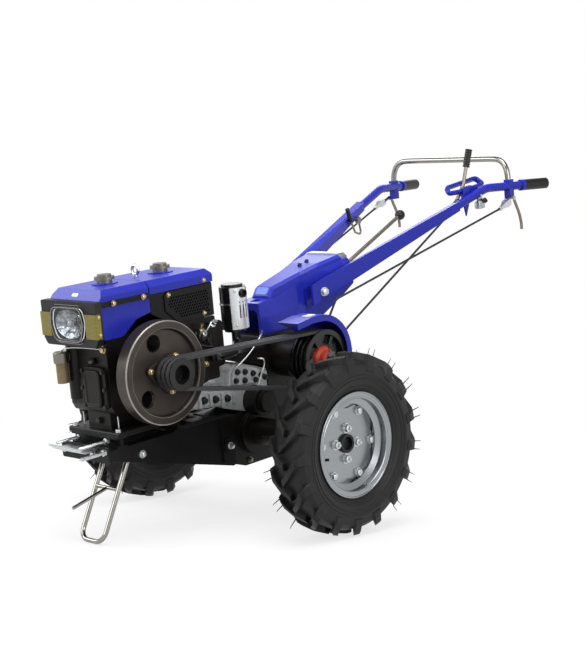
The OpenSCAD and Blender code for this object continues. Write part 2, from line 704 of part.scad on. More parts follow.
// Lid stations: x, half width, foot, top
lid_rows = [[-505, 85, 500, 523], [-470, 85, 500, 523], [-375, 72, 480, 507], [-300, 57, 456, 488],
    [-214, 49, 430, 467], [-172, 45, 416, 457], [-150, 44, 414, 428]];

function lid_half(r) = [[r[1], r[2]], [r[1] - 1, r[3] - 9], [r[1] - 13, r[3]]];

module console() color(blue) chassis() {
    rows = console_rows();
    last = len(rows) - 1;
    difference() {
        loft([for (r = rows) half_ring(r[0], console_half(r, 0, 0))]);
        loft([for (i = [0:last])
            let (r = rows[i], x = r[0] - (i == 0 ? 10 : i == last ? console_t : 0))
            half_ring(x, console_half(r, console_t, 60))]);
        translate([-100, 0, case_z - 1]) rotate([90, 0, 90]) linear_extrude(50)
            polygon(rounded([[-45, 0], [45, 0], [45, 84, 20], [-45, 84, 20]]));
        translate([-118, 6, 400]) cylinder(h = 40, r = 17);
    }
    loft([for (r = lid_rows) half_ring(r[0], lid_half(r))]);
}

module console_strap() color(steel) chassis() {
    y = lid_rows[0][1];
    z = lid_rows[0][3];
    half = [[y + seat_gap, 507 + seat_gap], [y - 1 + seat_gap, z - 9], [y - 13, z + seat_gap]];
    over = [[y + 5, 507 + seat_gap], [y + 4, z - 6], [y - 11, z + 5]];
    cross_plate(concat(over, [for (p = reversed(over)) [-p[0], p[1]]], [for (p = half) [-p[0], p[1]]],
        reversed(half)), -502, -473);
}

arm_front = [-300, 62];
arm_rear = [-958, 215];
arm_front_z = [372, 445];
arm_rear_z = [617, 651];
arm_turn = atan2(arm_rear[1] - arm_front[1], arm_front[0] - arm_rear[0]);

// Inner face of the left arm
function arm_in(x) = arm_front[1]
    + (arm_rear[1] - arm_front[1]) * (x - arm_front[0]) / (arm_rear[0] - arm_front[0]);

function arm_ring(at, w, z0, z1, fall) = [[at[0], at[1] + w, z0], [at[0], at[1] + w, z1],
    [at[0], at[1], z1 - fall], [at[0], at[1], z0]];

module handle_arms() color(blue) chassis() mirrored() difference() {
    low = arm_front_z[0];
    high = arm_front_z[1];
    loft([arm_ring(arm_rear, 34, arm_rear_z[0], arm_rear_z[1], 6), arm_ring(arm_front, 42, low, high, 16)]);
    translate([arm_front[0] - 45, arm_front[1] + 11, low - 12]) cube([60, 22, high - low + 27]);
}

clutch_bend = [-1040, 206, 702];
clutch_top = [-1064, 206, 765];
gear_foot = [-240, 0, 318];
knob_at = [-912, 0, 606];
bar_start = [-958 - seat_gap, arm_rear[1] + 17, 634];
bar_bend = [-1110, 257, 682];
bar_end = [grip_x + 6, grip_y - 1, grip_z];

function on_bar(x) = bar_bend + (bar_end - bar_bend) * (x - bar_bend[0]) / (bar_end[0] - bar_bend[0]);

module handlebars() color(blue) chassis() {
    d = unit(bar_end - bar_bend);
    mirrored() {
        bar(concat([bar_start], route([bar_start + [-5, 0, 0], bar_bend, bar_end], 120, 5)), bar_d / 2, 20,
            [0, 0, 1]);
        rod(bar_end - 124 * d, bar_end - 108.3 * d, 21);
        translate([-1232, on_bar(-1219)[1] - 13, 630]) cube([26, 26, on_bar(-1219)[2] + 25 - 630]);
    }
    lever_guide();
}

module hand_grips() color("#1c1c1d") chassis() {
    d = unit(bar_end - bar_bend);
    mirrored() difference() {
        rod(bar_end - 108 * d, bar_end + 5 * d, grip_d / 2);
        rod(bar_end - 109 * d, bar_end + 0.3 * d, bar_d / 2 + 0.2);
    }
    up = unit(clutch_top - clutch_bend);
    foot = clutch_top + seat_gap * up;
    rod(foot, foot + 66 * up, 10);
    for (k = [0:7])
        rod(foot + (k * 8.6 + 1) * up, foot + (k * 8.6 + 5.8) * up, 13);
    difference() {
        translate(knob_at) sphere(r = 19);
        rod(gear_foot, knob_at, 7.2);
    }
    throttle_place() difference() {
        rod([37, throttle_y, 4.3], [61, throttle_y, 55], 8);
        rod([34, throttle_y, -2], [58.3, throttle_y, 49.3], 4.3);
    }
}

module arch_bar() color(steel) chassis() {
    foot = on_bar(-1219);
    z0 = foot[2] + 25 + seat_gap;
    p = [-1219, foot[1], z0];
    q = [-1225, 250, 777];
    bar(concat([p], route([p + [0, 0, 6], q, [q[0], -q[1], q[2]], [p[0], -p[1], z0 + 6]], 48, 6),
        [[p[0], -p[1], z0]]), arch_d / 2, 16, [1, 0, 0]);
}

module steering_levers() color(steel) chassis() mirrored() {
    y = on_bar(-1219)[1] + 13 + seat_gap;
    side_plate(rounded([[-1136, 598, 6], [-1140, 618, 6], [-1210, 656, 8], [-1236, 650, 10], [-1259, 562, 40],
        [-1286, 506, 5], [-1276, 500, 5], [-1246, 562, 40], [-1222, 632, 8], [-1206, 636, 6]]), y, y + 7);
}

module control_rods() color(steel) chassis() {
    y = on_bar(-1219)[1] + 24.4 + 2 * seat_gap;
    side = 75 + seat_gap;
    mirrored() bar(route([[-1137, y, 607], [-355, 158, 388], [-255, 104, 166], [-255, side, 166]], 14), 4, 8,
        [0.2, 0.1, 1]);
    bar(route([[-966, 191.6, 617], [-940, 190, 590], [-449, 115, 270], [-262, 100, 118],
        [-262, side, 118]], 14), 4, 8, [0.2, 0.1, 1]);
}

module clutch_lever() color(steel) chassis() {
    bar(route([[-948, 203, 620], [-1000, 204, 650], clutch_bend, clutch_top], 50), 7, 10);
    translate([-950, arm_in(-950), 624]) rotate([0, 0, -arm_turn]) disc_y(0, 0, 9, -12, -seat_gap);
}

// Slotted guide of the clutch lever on its bracket
module lever_guide() {
    translate([-1038, 206, 694]) rotate([-35, 5.6, 0]) linear_extrude(12, center = true) difference() {
        polygon(rounded([[104, 12, 11], [80, -26, 14], [-104, -26, 14], [-104, 26, 14], [20, 26, 20]]));
        polygon(rounded([[84, 6, 4], [72, -14.5, 6], [-90, -14.5, 8], [-90, 14.5, 8], [20, 14.5, 10]]));
    }
    side_plate(rounded([[-1000, 646], [-1094, 672], [-1098, 684, 6], [-1050, 700, 8], [-1004, 694]]),
        222, 234);
    side_plate([[-990, 645], [-1030, 650], [-1004, 592]], 236, 242);
}

module gear_lever() color(steel) chassis() {
    translate([-238, 0, case_z + seat_gap]) cylinder(h = 26, r = 26);
    rod(gear_foot, knob_at, 7);
}

throttle_y = -seat_gap - 8;

module throttle_place() {
    mirror([0, 1, 0]) translate([-870, arm_in(-870), 585]) rotate([0, 0, -arm_turn]) children();
}

module throttle_lever() color(steel) chassis() throttle_place() {
    y = throttle_y;
    disc_y(-22, 2, 14, -seat_gap - 12, -seat_gap);
    bar(route([[58, y, 48.7], [36, y, 2], [12, y, -40], [-36, y, -55], [-22, y, 0]], 10), 4, 8);
}

module stand() color(steel) chassis() {
    leg = [stand_x, stand_y, stand_z];
    foot = [stand_foot_x, stand_y, stand_foot_z];
    mid = leg + (foot - leg) * 0.42;
    difference() {
        union() {
            bar(route([leg, foot, [foot[0], -foot[1], foot[2]], [leg[0], -leg[1], leg[2]]], 34, 6),
                stand_d / 2, 16, [0.9, 0.1, 0.5]);
            disc_y(stand_x, stand_z, 15, -78, 78);
            disc_y(mid[0], mid[2], 6, -stand_y, stand_y);
            rod([mid[0], 0, mid[2]], [729, 0, -84], 5.5);
        }
        disc_y(stand_x, stand_z, stand_pin_d / 2 + run_gap, -100, 100);
    }
}

module stand_pin() color(steel) chassis() {
    disc_y(stand_x, stand_z, stand_pin_d / 2, -rail_y - 8, rail_y + 8);
    mirrored() disc_y(stand_x, stand_z, 13, rail_y + seat_gap, rail_y + 8);
}

left_tyre();
left_rim();
left_axle();
right_tyre();
right_rim();
right_axle();
frame_rails();
front_crossmember();
tow_plate();
engine_bearers();
gearbox();
gear_housing();
rear_hitch();
crankcase();
crankcase_cover();
timing_cover();
cylinder_head();
muffler();
muffler_shield();
air_cleaner();
fuel_filter();
fuel_tank();
tank_bands();
radiator();
radiator_grilles();
hood();
filler_caps();
lifting_eye();
lamp_housing();
lamp_lens();
side_lamps();
flywheel();
crank_pulley();
drive_belts();
clutch_pulley();
clutch_hub();
belt_guard();
console();
console_strap();
handle_arms();
handlebars();
hand_grips();
arch_bar();
steering_levers();
control_rods();
clutch_lever();
gear_lever();
throttle_lever();
stand();
stand_pin();
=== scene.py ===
# %% [markdown]
# # A walking tractor, dressed
# The solids of the tractor come from its CAD model and stay where they are.
# This lesson gives each of them its finish, and adds the small fittings that the
# eye looks for: bolts, pipes, a headlamp's reflector and the rubber hairs on new tyres.

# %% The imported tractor
import bpy
import json
import math
from mathutils import Matrix, Vector


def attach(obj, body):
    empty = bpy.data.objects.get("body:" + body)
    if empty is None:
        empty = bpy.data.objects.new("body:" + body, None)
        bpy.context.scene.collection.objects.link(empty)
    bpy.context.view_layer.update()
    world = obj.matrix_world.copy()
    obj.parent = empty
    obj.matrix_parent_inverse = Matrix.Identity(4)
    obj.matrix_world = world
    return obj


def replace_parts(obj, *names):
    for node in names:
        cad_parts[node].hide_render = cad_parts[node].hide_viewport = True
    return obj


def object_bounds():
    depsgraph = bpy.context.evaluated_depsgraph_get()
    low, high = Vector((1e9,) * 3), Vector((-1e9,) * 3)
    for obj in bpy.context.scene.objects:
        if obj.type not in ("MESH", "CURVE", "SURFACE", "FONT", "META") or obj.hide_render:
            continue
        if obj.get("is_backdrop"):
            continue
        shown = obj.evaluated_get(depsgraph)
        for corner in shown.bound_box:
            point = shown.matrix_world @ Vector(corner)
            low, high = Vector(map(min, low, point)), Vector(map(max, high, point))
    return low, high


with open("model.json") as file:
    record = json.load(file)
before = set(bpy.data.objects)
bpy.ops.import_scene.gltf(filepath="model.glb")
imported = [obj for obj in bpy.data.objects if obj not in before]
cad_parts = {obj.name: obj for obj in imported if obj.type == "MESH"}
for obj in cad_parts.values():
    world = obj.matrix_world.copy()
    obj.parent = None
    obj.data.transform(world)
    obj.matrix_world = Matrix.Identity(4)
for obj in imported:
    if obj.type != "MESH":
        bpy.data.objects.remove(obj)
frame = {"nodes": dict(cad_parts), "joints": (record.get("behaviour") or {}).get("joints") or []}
nodes = frame["nodes"]
cad_box = [[float(v) for v in corner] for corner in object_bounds()]
print("nodes:", len(nodes), "box:", cad_box)

# %% [markdown]
# ## The camera
# A long lens a few metres off, at the height of a person's chest, looks down a little
# on the tractor's left front. The frame is upright, so the 36 mm of the sensor lie
# along its height, and the focal length follows from the 666 pixels there.

# %% Camera
picture = (586, 666)
focal_px = 1536.1
eye = Vector((3.8627, 3.7041, 1.0574))
sensor_mm = 36
turn, dip = math.radians(46.04), math.radians(4.92)
look = Vector((-math.sin(turn) * math.cos(dip), -math.cos(turn) * math.cos(dip), -math.sin(dip)))
bpy.ops.object.camera_add(location=eye, rotation=look.to_track_quat("-Z", "Y").to_euler())
camera = bpy.context.object
camera.data.sensor_width = sensor_mm
camera.data.lens = sensor_mm * focal_px / max(picture)
bpy.context.scene.camera = camera
print("lens:", round(camera.data.lens, 1), "mm")

# %% [markdown]
# ## Colours and nodes
# Paint makers give colours as sRGB hex values, and a shader works in linear light, so one
# function turns the one into the other. A second one adds a node, sets it and links it. The size
# of a pattern is known in millimetres, and a texture node asks how often it repeats in a metre.
# Most surfaces are built alike: a colour that drifts between two tints in soft clouds, a
# roughness that may drift with it, a fine grain as a bump, and edges that catch the light as if
# they were rounded. One function makes such a surface, from the cloud's size and detail, the grain's
# size, detail, strength and depth, and the edge's radius, all sizes in millimetres.

# %% Helpers for materials
def linear(code):
    parts = [int(code[i:i + 2], 16) / 255 for i in (1, 3, 5)]
    return [c / 12.92 if c <= 0.04045 else ((c + 0.055) / 1.055) ** 2.4 for c in parts] + [1]


def repeats(size_mm):
    return 1000 / size_mm


def add(material, kind, sockets=None, **settings):
    made = material.node_tree.nodes.new(kind)
    for name, value in settings.items():
        setattr(made, name, value)
    for name, value in (sockets or {}).items():
        if isinstance(value, bpy.types.NodeSocket):
            material.node_tree.links.new(value, made.inputs[name])
        else:
            made.inputs[name].default_value = value
    return made


def new_material(name, **sockets):
    material = bpy.data.materials.new(name)
    material.use_nodes = True
    shader = material.node_tree.nodes["Principled BSDF"]
    for key, value in sockets.items():
        shader.inputs[key.replace("_", " ").title().replace("Ior", "IOR")].default_value = value
    return material, shader, material.node_tree.links


def surface(name, cloud, tints, dull=None, grain=None, edge=None, **sockets):
    material, shader, link = new_material(name, **sockets)
    where = add(material, "ShaderNodeTexCoord").outputs["Object"]
    size, detail = cloud
    mottle = add(material, "ShaderNodeTexNoise", {"Vector": where, "Scale": repeats(size),
                                                  "Detail": detail})
    dark, light = tints
    tint = add(material, "ShaderNodeMix", {0: mottle.outputs[0], 6: linear(dark), 7: linear(light)},
               data_type="RGBA")
    link.new(tint.outputs[2], shader.inputs["Base Color"])
    if dull:
        sheen = add(material, "ShaderNodeMapRange", {"Value": mottle.outputs[0], "To Min": dull[0],
                                                     "To Max": dull[1]})
        link.new(sheen.outputs[0], shader.inputs["Roughness"])
    normal = shader.inputs["Normal"]
    if grain:
        size, detail, strength, depth = grain
        relief = add(material, "ShaderNodeTexNoise", {"Vector": where, "Scale": repeats(size),
                                                      "Detail": detail})
        skin = add(material, "ShaderNodeBump", {"Height": relief.outputs[0], "Strength": strength,
                                                "Distance": depth / 1000})
        link.new(skin.outputs[0], normal)
        normal = skin.inputs["Normal"]
    if edge:
        rounded = add(material, "ShaderNodeBevel", {"Radius": edge / 1000}, samples=4)
        link.new(rounded.outputs[0], normal)
    return material


def dress(material, *names):
    for name in names:
        nodes[name].data.materials.clear()
        nodes[name].data.materials.append(material)
    print(material.name, "on", ", ".join(names))


# %% [markdown]
# ## Floor and light
# The floor is a wide pale sheet. Seen by the camera, or in metal and glass, it glows a little, so
# that it runs out to the white of the backdrop and still shows the shadow. For all other light
# it is a mid grey, which keeps the undersides of the machine dark. Five soft boxes light the
# tractor, the biggest of them from above, in a white room that is darker towards the floor.

# %% Rays that come from the camera, or from metal and glass
def in_view(holder):
    ray = add(holder, "ShaderNodeLightPath").outputs
    straight = add(holder, "ShaderNodeMath", {0: ray["Is Camera Ray"], 1: ray["Is Transmission Ray"]},
                   operation="MAXIMUM")
    either = add(holder, "ShaderNodeMath", {0: straight.outputs[0], 1: ray["Is Glossy Ray"]},
                 operation="MAXIMUM")
    return either.outputs[0]


# %% Floor
bpy.ops.object.select_all(action="DESELECT")
floor_size, floor_drop = 60, 0.001
bpy.ops.mesh.primitive_plane_add(size=floor_size, location=(0, 0, -floor_drop))
floor = bpy.context.object
floor.name = "floor"
floor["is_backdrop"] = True
sheet, shader, link = new_material("white_paper", roughness=0.9)
seen = in_view(sheet)
tint = add(sheet, "ShaderNodeMix", {0: seen, 6: linear("#7A7A7A"), 7: linear("#F2F2F2")},
           data_type="RGBA")
link.new(tint.outputs[2], shader.inputs["Base Color"])
glow = add(sheet, "ShaderNodeEmission", {"Color": (1, 1, 1, 1), "Strength": 1.0})
where = add(sheet, "ShaderNodeTexCoord").outputs["Object"]
away = add(sheet, "ShaderNodeVectorMath", {0: where}, operation="LENGTH")
shadow_to, white_from = 1.0, 2.4
fade = add(sheet, "ShaderNodeMapRange", {"Value": away.outputs["Value"], "From Min": shadow_to,
                                         "From Max": white_from, "To Min": 0.72, "To Max": 1.0})
part = add(sheet, "ShaderNodeMath", {0: seen, 1: fade.outputs[0]}, operation="MULTIPLY")
paper = add(sheet, "ShaderNodeMixShader", {0: part.outputs[0], 1: shader.outputs[0], 2: glow.outputs[0]})
link.new(paper.outputs[0], sheet.node_tree.nodes["Material Output"].inputs["Surface"])
floor.data.materials.append(sheet)
print("floor:", floor_size, "m wide")

# %% Room and soft boxes
world = bpy.data.worlds.new("white_room")
bpy.context.scene.world = world
world.use_nodes = True
sky = world.node_tree.nodes["Background"]
height = add(world, "ShaderNodeTexCoord").outputs["Generated"]
height = add(world, "ShaderNodeSeparateXYZ", {0: height})
room = add(world, "ShaderNodeMapRange", {"Value": height.outputs["Z"], "From Min": -0.1,
                                         "From Max": 0.8, "To Min": 0.1, "To Max": 0.5})
backdrop = add(world, "ShaderNodeMapRange", {"Value": height.outputs["Z"], "From Min": 0.2,
                                             "From Max": 0.75, "To Min": 1.0, "To Max": 0.25})
level = add(world, "ShaderNodeMix", {0: in_view(world), 2: room.outputs[0], 3: backdrop.outputs[0]})
world.node_tree.links.new(level.outputs[0], sky.inputs["Strength"])
sky.inputs["Color"].default_value = (1, 1, 1, 1)

aim = Vector((0, 0, 0.5))
for name, place, size, power in (
        ("top_box", (1.0, 1.0, 4.4), 3.2, 155),
        ("front_box", (4.6, -1.2, 2.4), 2.2, 60),
        ("side_box", (0.8, 4.8, 2.2), 2.4, 85),
        ("back_box", (-3.2, -2.6, 3.0), 2.4, 45),
        ("right_box", (2.6, -3.4, 3.1), 2.6, 90)):
    bpy.ops.object.light_add(type="AREA", location=place)
    lamp = bpy.context.object
    lamp.name = name
    lamp.data.size = size
    lamp.data.energy = power
    lamp.rotation_euler = (aim - Vector(place)).to_track_quat("-Z", "Y").to_euler()
bpy.context.scene.view_settings.view_transform = "Standard"

# %% [markdown]
# ## Blue enamel
# Tank, hood, guard and handles are pressed sheet steel with a sprayed and baked enamel.
# It gives the eye a deep even blue under a clear gloss, with the faint ripple that spraying
# leaves, called orange peel, about 3 mm from crest to crest.

# %% Sprayed blue enamel
blue = surface("sprayed_blue_enamel", (150, 3.0), ("#1B239A", "#252FB2"), grain=(3, 1.0, 0.03, 0.4),
               roughness=0.38, ior=1.36, coat_weight=0.15, coat_roughness=0.12)
dress(blue, "fuel_tank", "hood", "belt_guard", "console", "handle_arms", "handlebars")

# %% [markdown]
# ## Black enamel
# The frame and the sheet pieces of the engine carry a thin satin black that shows the rolled
# steel under it. Turned and pressed pieces are stoved, which is glossier. The castings are
# painted over sand-cast skin, so their bump is coarser, a grit of 4 mm.

# %% Satin black enamel on plate
plate = surface("satin_black_enamel", (60, 4.0), ("#060606", "#100F10"), dull=(0.3, 0.5),
                grain=(3, 2.0, 0.1, 0.5), edge=1.5, ior=1.3)
dress(plate, "frame_rails", "front_crossmember", "engine_bearers", "tank_bands", "radiator",
      "radiator_grilles", "rear_hitch")

# %% Stoved black enamel on turned and pressed pieces
gloss = surface("stoved_black_enamel", (50, 4.0), ("#0B0B0C", "#1A1A1B"), dull=(0.18, 0.36), edge=1.5,
                ior=1.45)
dress(gloss, "air_cleaner", "muffler", "crank_pulley", "clutch_pulley")

# %% Black enamel on sand-cast iron
cast = surface("black_enamel_on_casting", (80, 5.0), ("#0A0908", "#1B1714"), grain=(4, 3.0, 0.35, 1),
               edge=3, roughness=0.42, ior=1.32)
dress(cast, "gearbox", "crankcase", "crankcase_cover", "timing_cover", "cylinder_head")

# %% [markdown]
# ## Bare and painted metals
# The gear housing is bare cast aluminium, the wheels carry silver paint with fine metal
# flake, and the tow plate is zinc plated, which gives a grey, slightly cloudy shine. On levers
# and caps the plating is worn and a little brown. The stand and the arch bar are chrome
# plated tube.

# %% Cast aluminium
alloy = surface("cast_aluminium", (12, 6.0), ("#96989A", "#EEEFF0"), grain=(3, 3.0, 0.35, 1), edge=3,
                metallic=0.4, roughness=0.48)
dress(alloy, "gear_housing")

# %% Silver wheel paint, its flake drawn 1.5 mm wide so that it shows
silver = surface("silver_wheel_paint", (1.5, 2.0), ("#84878A", "#A6A9AC"), grain=(1.5, 2.0, 0.06, 0.3),
                 metallic=1.0, roughness=0.26, coat_weight=0.3, coat_roughness=0.15)
dress(silver, "left_rim", "right_rim")

# %% Bright sheet of the muffler shield
sheet_metal = surface("bright_aluminium_sheet", (6, 4.0), ("#CDD0D2", "#F3F4F5"), dull=(0.24, 0.4),
                      metallic=0.55)
dress(sheet_metal, "muffler_shield")

# %% Zinc plate
zinc = surface("bright_zinc_plate", (12, 4.0), ("#A9ADAF", "#DEE1E2"), dull=(0.24, 0.44), metallic=1.0)
dress(zinc, "tow_plate", "lifting_eye", "console_strap", "stand_pin")

# %% Worn plating on levers and caps
worn = surface("worn_lever_steel", (15, 4.0), ("#726C64", "#8B867E"), dull=(0.32, 0.5), metallic=1.0)
dress(worn, "steering_levers", "gear_lever", "throttle_lever", "clutch_lever", "filler_caps")

# %% Chrome on tube
chrome = surface("chrome_plate", (20, 4.0), ("#8A8883", "#999893"), dull=(0.14, 0.2), metallic=1.0)
dress(chrome, "stand", "arch_bar")

# %% Blackened rods
rodding = surface("black_oxide_steel", (20, 3.0), ("#232425", "#3A3B3C"), metallic=0.7, roughness=0.45)
dress(rodding, "control_rods", "left_axle", "right_axle")

# %% [markdown]
# ## Flywheel iron
# The flywheel is grey iron. It keeps the brown-grey skin of the sand mould, and only the front
# corner of the rim and its inner lip are turned bright on a lathe, which leaves fine rings. Both
# bands are painted far lighter than the skin, partly their own colour and partly a painted
# highlight along the edges. The distance from the shaft tells the two apart. The real rings
# are 0.3 mm apart, too fine for the picture, so they are drawn 2 mm apart.

# %% Turned iron, with a painted highlight on its edges
iron, shader, link = new_material("turned_grey_iron", metallic=0.8, roughness=0.42)
shaft = [j for j in frame["joints"] if j["name"] == "flywheel_spin"][0]["pos_m"]
rim_from, rim_to, rim_front = 0.1565, 0.158, 0.2015
lip_radius, lip_half = 0.1365, 0.0015
ring_pitch = 0.002
where = add(iron, "ShaderNodeTexCoord").outputs["Object"]
flat = add(iron, "ShaderNodeVectorMath", {0: where, 1: (shaft[0], 0, shaft[2])}, operation="SUBTRACT")
flat = add(iron, "ShaderNodeVectorMath", {0: flat.outputs[0], 1: (1, 0, 1)}, operation="MULTIPLY")
radius = add(iron, "ShaderNodeVectorMath", {0: flat.outputs[0]}, operation="LENGTH")
# Mask of the turned bands, which carry a painted highlight
turned_highlight_mask = add(iron, "ShaderNodeMapRange", {"Value": radius.outputs["Value"], "From Min": rim_from,
                                        "From Max": rim_to})
depth = add(iron, "ShaderNodeSeparateXYZ", {0: where})
front = add(iron, "ShaderNodeMath", {0: depth.outputs["Y"], 1: rim_front}, operation="GREATER_THAN")
turned_highlight_mask = add(iron, "ShaderNodeMath", {0: turned_highlight_mask.outputs[0], 1: front.outputs[0]}, operation="MULTIPLY")
lip = add(iron, "ShaderNodeMath", {0: radius.outputs["Value"], 1: lip_radius, 2: lip_half},
          operation="COMPARE")
turned_highlight_mask = add(iron, "ShaderNodeMath", {0: turned_highlight_mask.outputs[0], 1: lip.outputs[0]}, operation="MAXIMUM")
cloud = add(iron, "ShaderNodeTexNoise", {"Vector": where, "Scale": repeats(50), "Detail": 5.0})
raw = add(iron, "ShaderNodeMix", {0: cloud.outputs[0], 6: linear("#38332F"), 7: linear("#57504A")},
          data_type="RGBA")
# Light tint of the turned bands: partly bare iron, partly a painted highlight
bright = add(iron, "ShaderNodeMix", {0: cloud.outputs[0], 6: linear("#85807A"), 7: linear("#B0ABA5")},
             data_type="RGBA")
both = add(iron, "ShaderNodeMix", {0: turned_highlight_mask.outputs[0], 6: raw.outputs[2], 7: bright.outputs[2]},
           data_type="RGBA")
link.new(both.outputs[2], shader.inputs["Base Color"])
ring = add(iron, "ShaderNodeMath", {0: radius.outputs["Value"], 1: 2 * math.pi / ring_pitch},
           operation="MULTIPLY")
ring = add(iron, "ShaderNodeMath", {0: ring.outputs[0]}, operation="SINE")
grit = add(iron, "ShaderNodeTexNoise", {"Vector": where, "Scale": repeats(4), "Detail": 3.0})
relief = add(iron, "ShaderNodeMix", {0: turned_highlight_mask.outputs[0], 2: grit.outputs[0], 3: ring.outputs[0]})
edge = add(iron, "ShaderNodeBevel", {"Radius": 0.002}, samples=4)
skin = add(iron, "ShaderNodeBump", {"Height": relief.outputs[0], "Strength": 0.2, "Distance": 0.0006,
                                    "Normal": edge.outputs[0]})
link.new(skin.outputs[0], shader.inputs["Normal"])
dress(iron, "flywheel")

# %% [markdown]
# ## Rubber and plastic
# A new tyre is nearly black with a dull bloom. The belts are a worn dark grey with a fine weave.
# Lamp housing and grips are moulded plastic.

# %% Tyre rubber
for side in ("left", "right"):
    tyre = surface("moulded_tyre_rubber_" + side, (40, 5.0), ("#0C0C0C", "#1B1B1A"), dull=(0.42, 0.62),
                   grain=(3, 3.0, 0.2, 1), edge=3, ior=1.38)
    dress(tyre, side + "_tyre")

# %% Belt rubber and moulded plastic
belt = surface("belt_rubber", (4, 3.0), ("#262628", "#434346"), grain=(4, 3.0, 0.3, 0.6),
               roughness=0.6, ior=1.5)
dress(belt, "drive_belts")
plastic = surface("moulded_black_plastic", (2, 2.0), ("#0E0E0E", "#1A1A1A"), grain=(2, 2.0, 0.2, 0.4),
                  roughness=0.42, ior=1.4)
dress(plastic, "lamp_housing", "hand_grips")

# %% [markdown]
# ## Lamps, filter and clutch
# The headlamp's cover is clear, the two side lamps are olive amber with fine ribs inside, the
# filter bowl has a tan paint, and the clutch's middle is orange red.

# %% Lenses
lens, shader, link = new_material("clear_lens", base_color=linear("#EEF1F3"), roughness=0.02, ior=1.3,
                                  transmission_weight=1.0)
where = add(lens, "ShaderNodeTexCoord").outputs["Object"]
wavy = add(lens, "ShaderNodeTexNoise", {"Vector": where, "Scale": repeats(20), "Detail": 2.0})
skin = add(lens, "ShaderNodeBump", {"Height": wavy.outputs[0], "Strength": 0.05, "Distance": 0.001})
link.new(skin.outputs[0], shader.inputs["Normal"])
dress(lens, "lamp_lens")

amber, shader, link = new_material("amber_lens", roughness=0.18, ior=1.49, transmission_weight=0.25)
where = add(amber, "ShaderNodeTexCoord").outputs["Object"]
rib = add(amber, "ShaderNodeTexWave", {"Vector": where, "Scale": repeats(12.5), "Distortion": 0.5},
          bands_direction="Z")
tint = add(amber, "ShaderNodeMix", {0: rib.outputs[0], 6: linear("#867A22"), 7: linear("#ADA140")},
           data_type="RGBA")
link.new(tint.outputs[2], shader.inputs["Base Color"])
skin = add(amber, "ShaderNodeBump", {"Height": rib.outputs[0], "Strength": 0.25, "Distance": 0.001})
link.new(skin.outputs[0], shader.inputs["Normal"])
dress(amber, "side_lamps")

# %% Tan and orange paint
tan = surface("tan_enamel", (20, 4.0), ("#6B5F42", "#93835C"), metallic=0.2, roughness=0.4)
dress(tan, "fuel_filter")
orange = surface("orange_enamel", (20, 4.0), ("#9C2F20", "#C2452C"), roughness=0.4, ior=1.5)
dress(orange, "clutch_hub")

# %% [markdown]
# ## Bolts
# Small fixings tell the eye how big a machine is. A hexagon bolt starts as a six-sided
# cylinder: its top is inset and lifted, which gives the chamfer that every forged head has,
# and a round washer goes under it. It is modelled once and copied to each place. Places are
# millimetres from the axle's middle, along a chassis that stands a few degrees nose down.

# %% Helpers for modelling
axle = [j for j in frame["joints"] if j["name"] == "left_wheel_spin"][0]["pos_m"]
nose_down = math.radians(7)
chassis = Matrix.Translation((axle[0], 0, axle[2])) @ Matrix.Rotation(nose_down, 4, "Y")
sides = (("left", 1), ("right", -1))
smooth_below = math.radians(35)


def hub(side):
    return Matrix.Translation((axle[0], side * axle[1], axle[2]))


def circle(radius, angles):
    turns = [math.radians(a) for a in angles]
    return [(radius * math.cos(a), radius * math.sin(a)) for a in turns]


def begin():
    bpy.ops.object.select_all(action="DESELECT")
    bpy.context.tool_settings.mesh_select_mode = (False, False, True)


def pick(test):
    mesh = bpy.context.object.data
    bpy.ops.object.mode_set(mode="OBJECT")
    for group in (mesh.vertices, mesh.edges):
        for item in group:
            item.select = False
    for face in mesh.polygons:
        face.select = test(face.center, face.normal)
    bpy.ops.object.mode_set(mode="EDIT")


def clean():
    bpy.ops.object.mode_set(mode="EDIT")
    bpy.ops.mesh.select_all(action="SELECT")
    bpy.ops.mesh.remove_doubles(threshold=1e-6)
    bpy.ops.mesh.normals_make_consistent(inside=False)
    bpy.ops.object.mode_set(mode="OBJECT")
    bpy.ops.object.shade_smooth_by_angle(angle=smooth_below)


def keep(name, material, body, matrix=Matrix()):
    piece = bpy.context.object
    clean()
    piece.data.transform(matrix)
    piece.name = name
    piece.data.materials.clear()
    piece.data.materials.append(material)
    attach(piece, body)
    print(name + ":", len(piece.data.polygons), "faces, on", body)
    return piece


def seat(point, toward, size=1.0, base=chassis):
    facing = Vector(toward).to_track_quat("Z", "Y").to_matrix().to_4x4()
    return base @ Matrix.Translation(Vector(point) / 1000) @ facing @ Matrix.Scale(size, 4)


def copies(master, name, material, body, places):
    made = []
    for place in places:
        twin = master.copy()
        twin.data = master.data.copy()
        twin.data.transform(place)
        bpy.context.collection.objects.link(twin)
        made.append(twin)
    begin()
    for twin in made:
        twin.select_set(True)
    bpy.context.view_layer.objects.active = made[0]
    bpy.ops.object.join()
    keep(name, material, body)


# %% One hexagon bolt
begin()
bpy.ops.mesh.primitive_cylinder_add(vertices=6, radius=0.0085, depth=0.007, location=(0, 0, 0.0055))
bolt = bpy.context.object
bpy.ops.object.transform_apply()
pick(lambda c, n: n.z > 0.9)
chamfer_in, chamfer_up = 0.0012, 0.0008
bpy.ops.mesh.inset(thickness=chamfer_in)
bpy.ops.transform.translate(value=(0, 0, chamfer_up))
bpy.ops.mesh.primitive_cylinder_add(vertices=14, radius=0.0105, depth=0.003, location=(0, 0, 0.0005))
clean()
print("bolt faces:", len(bolt.data.polygons))

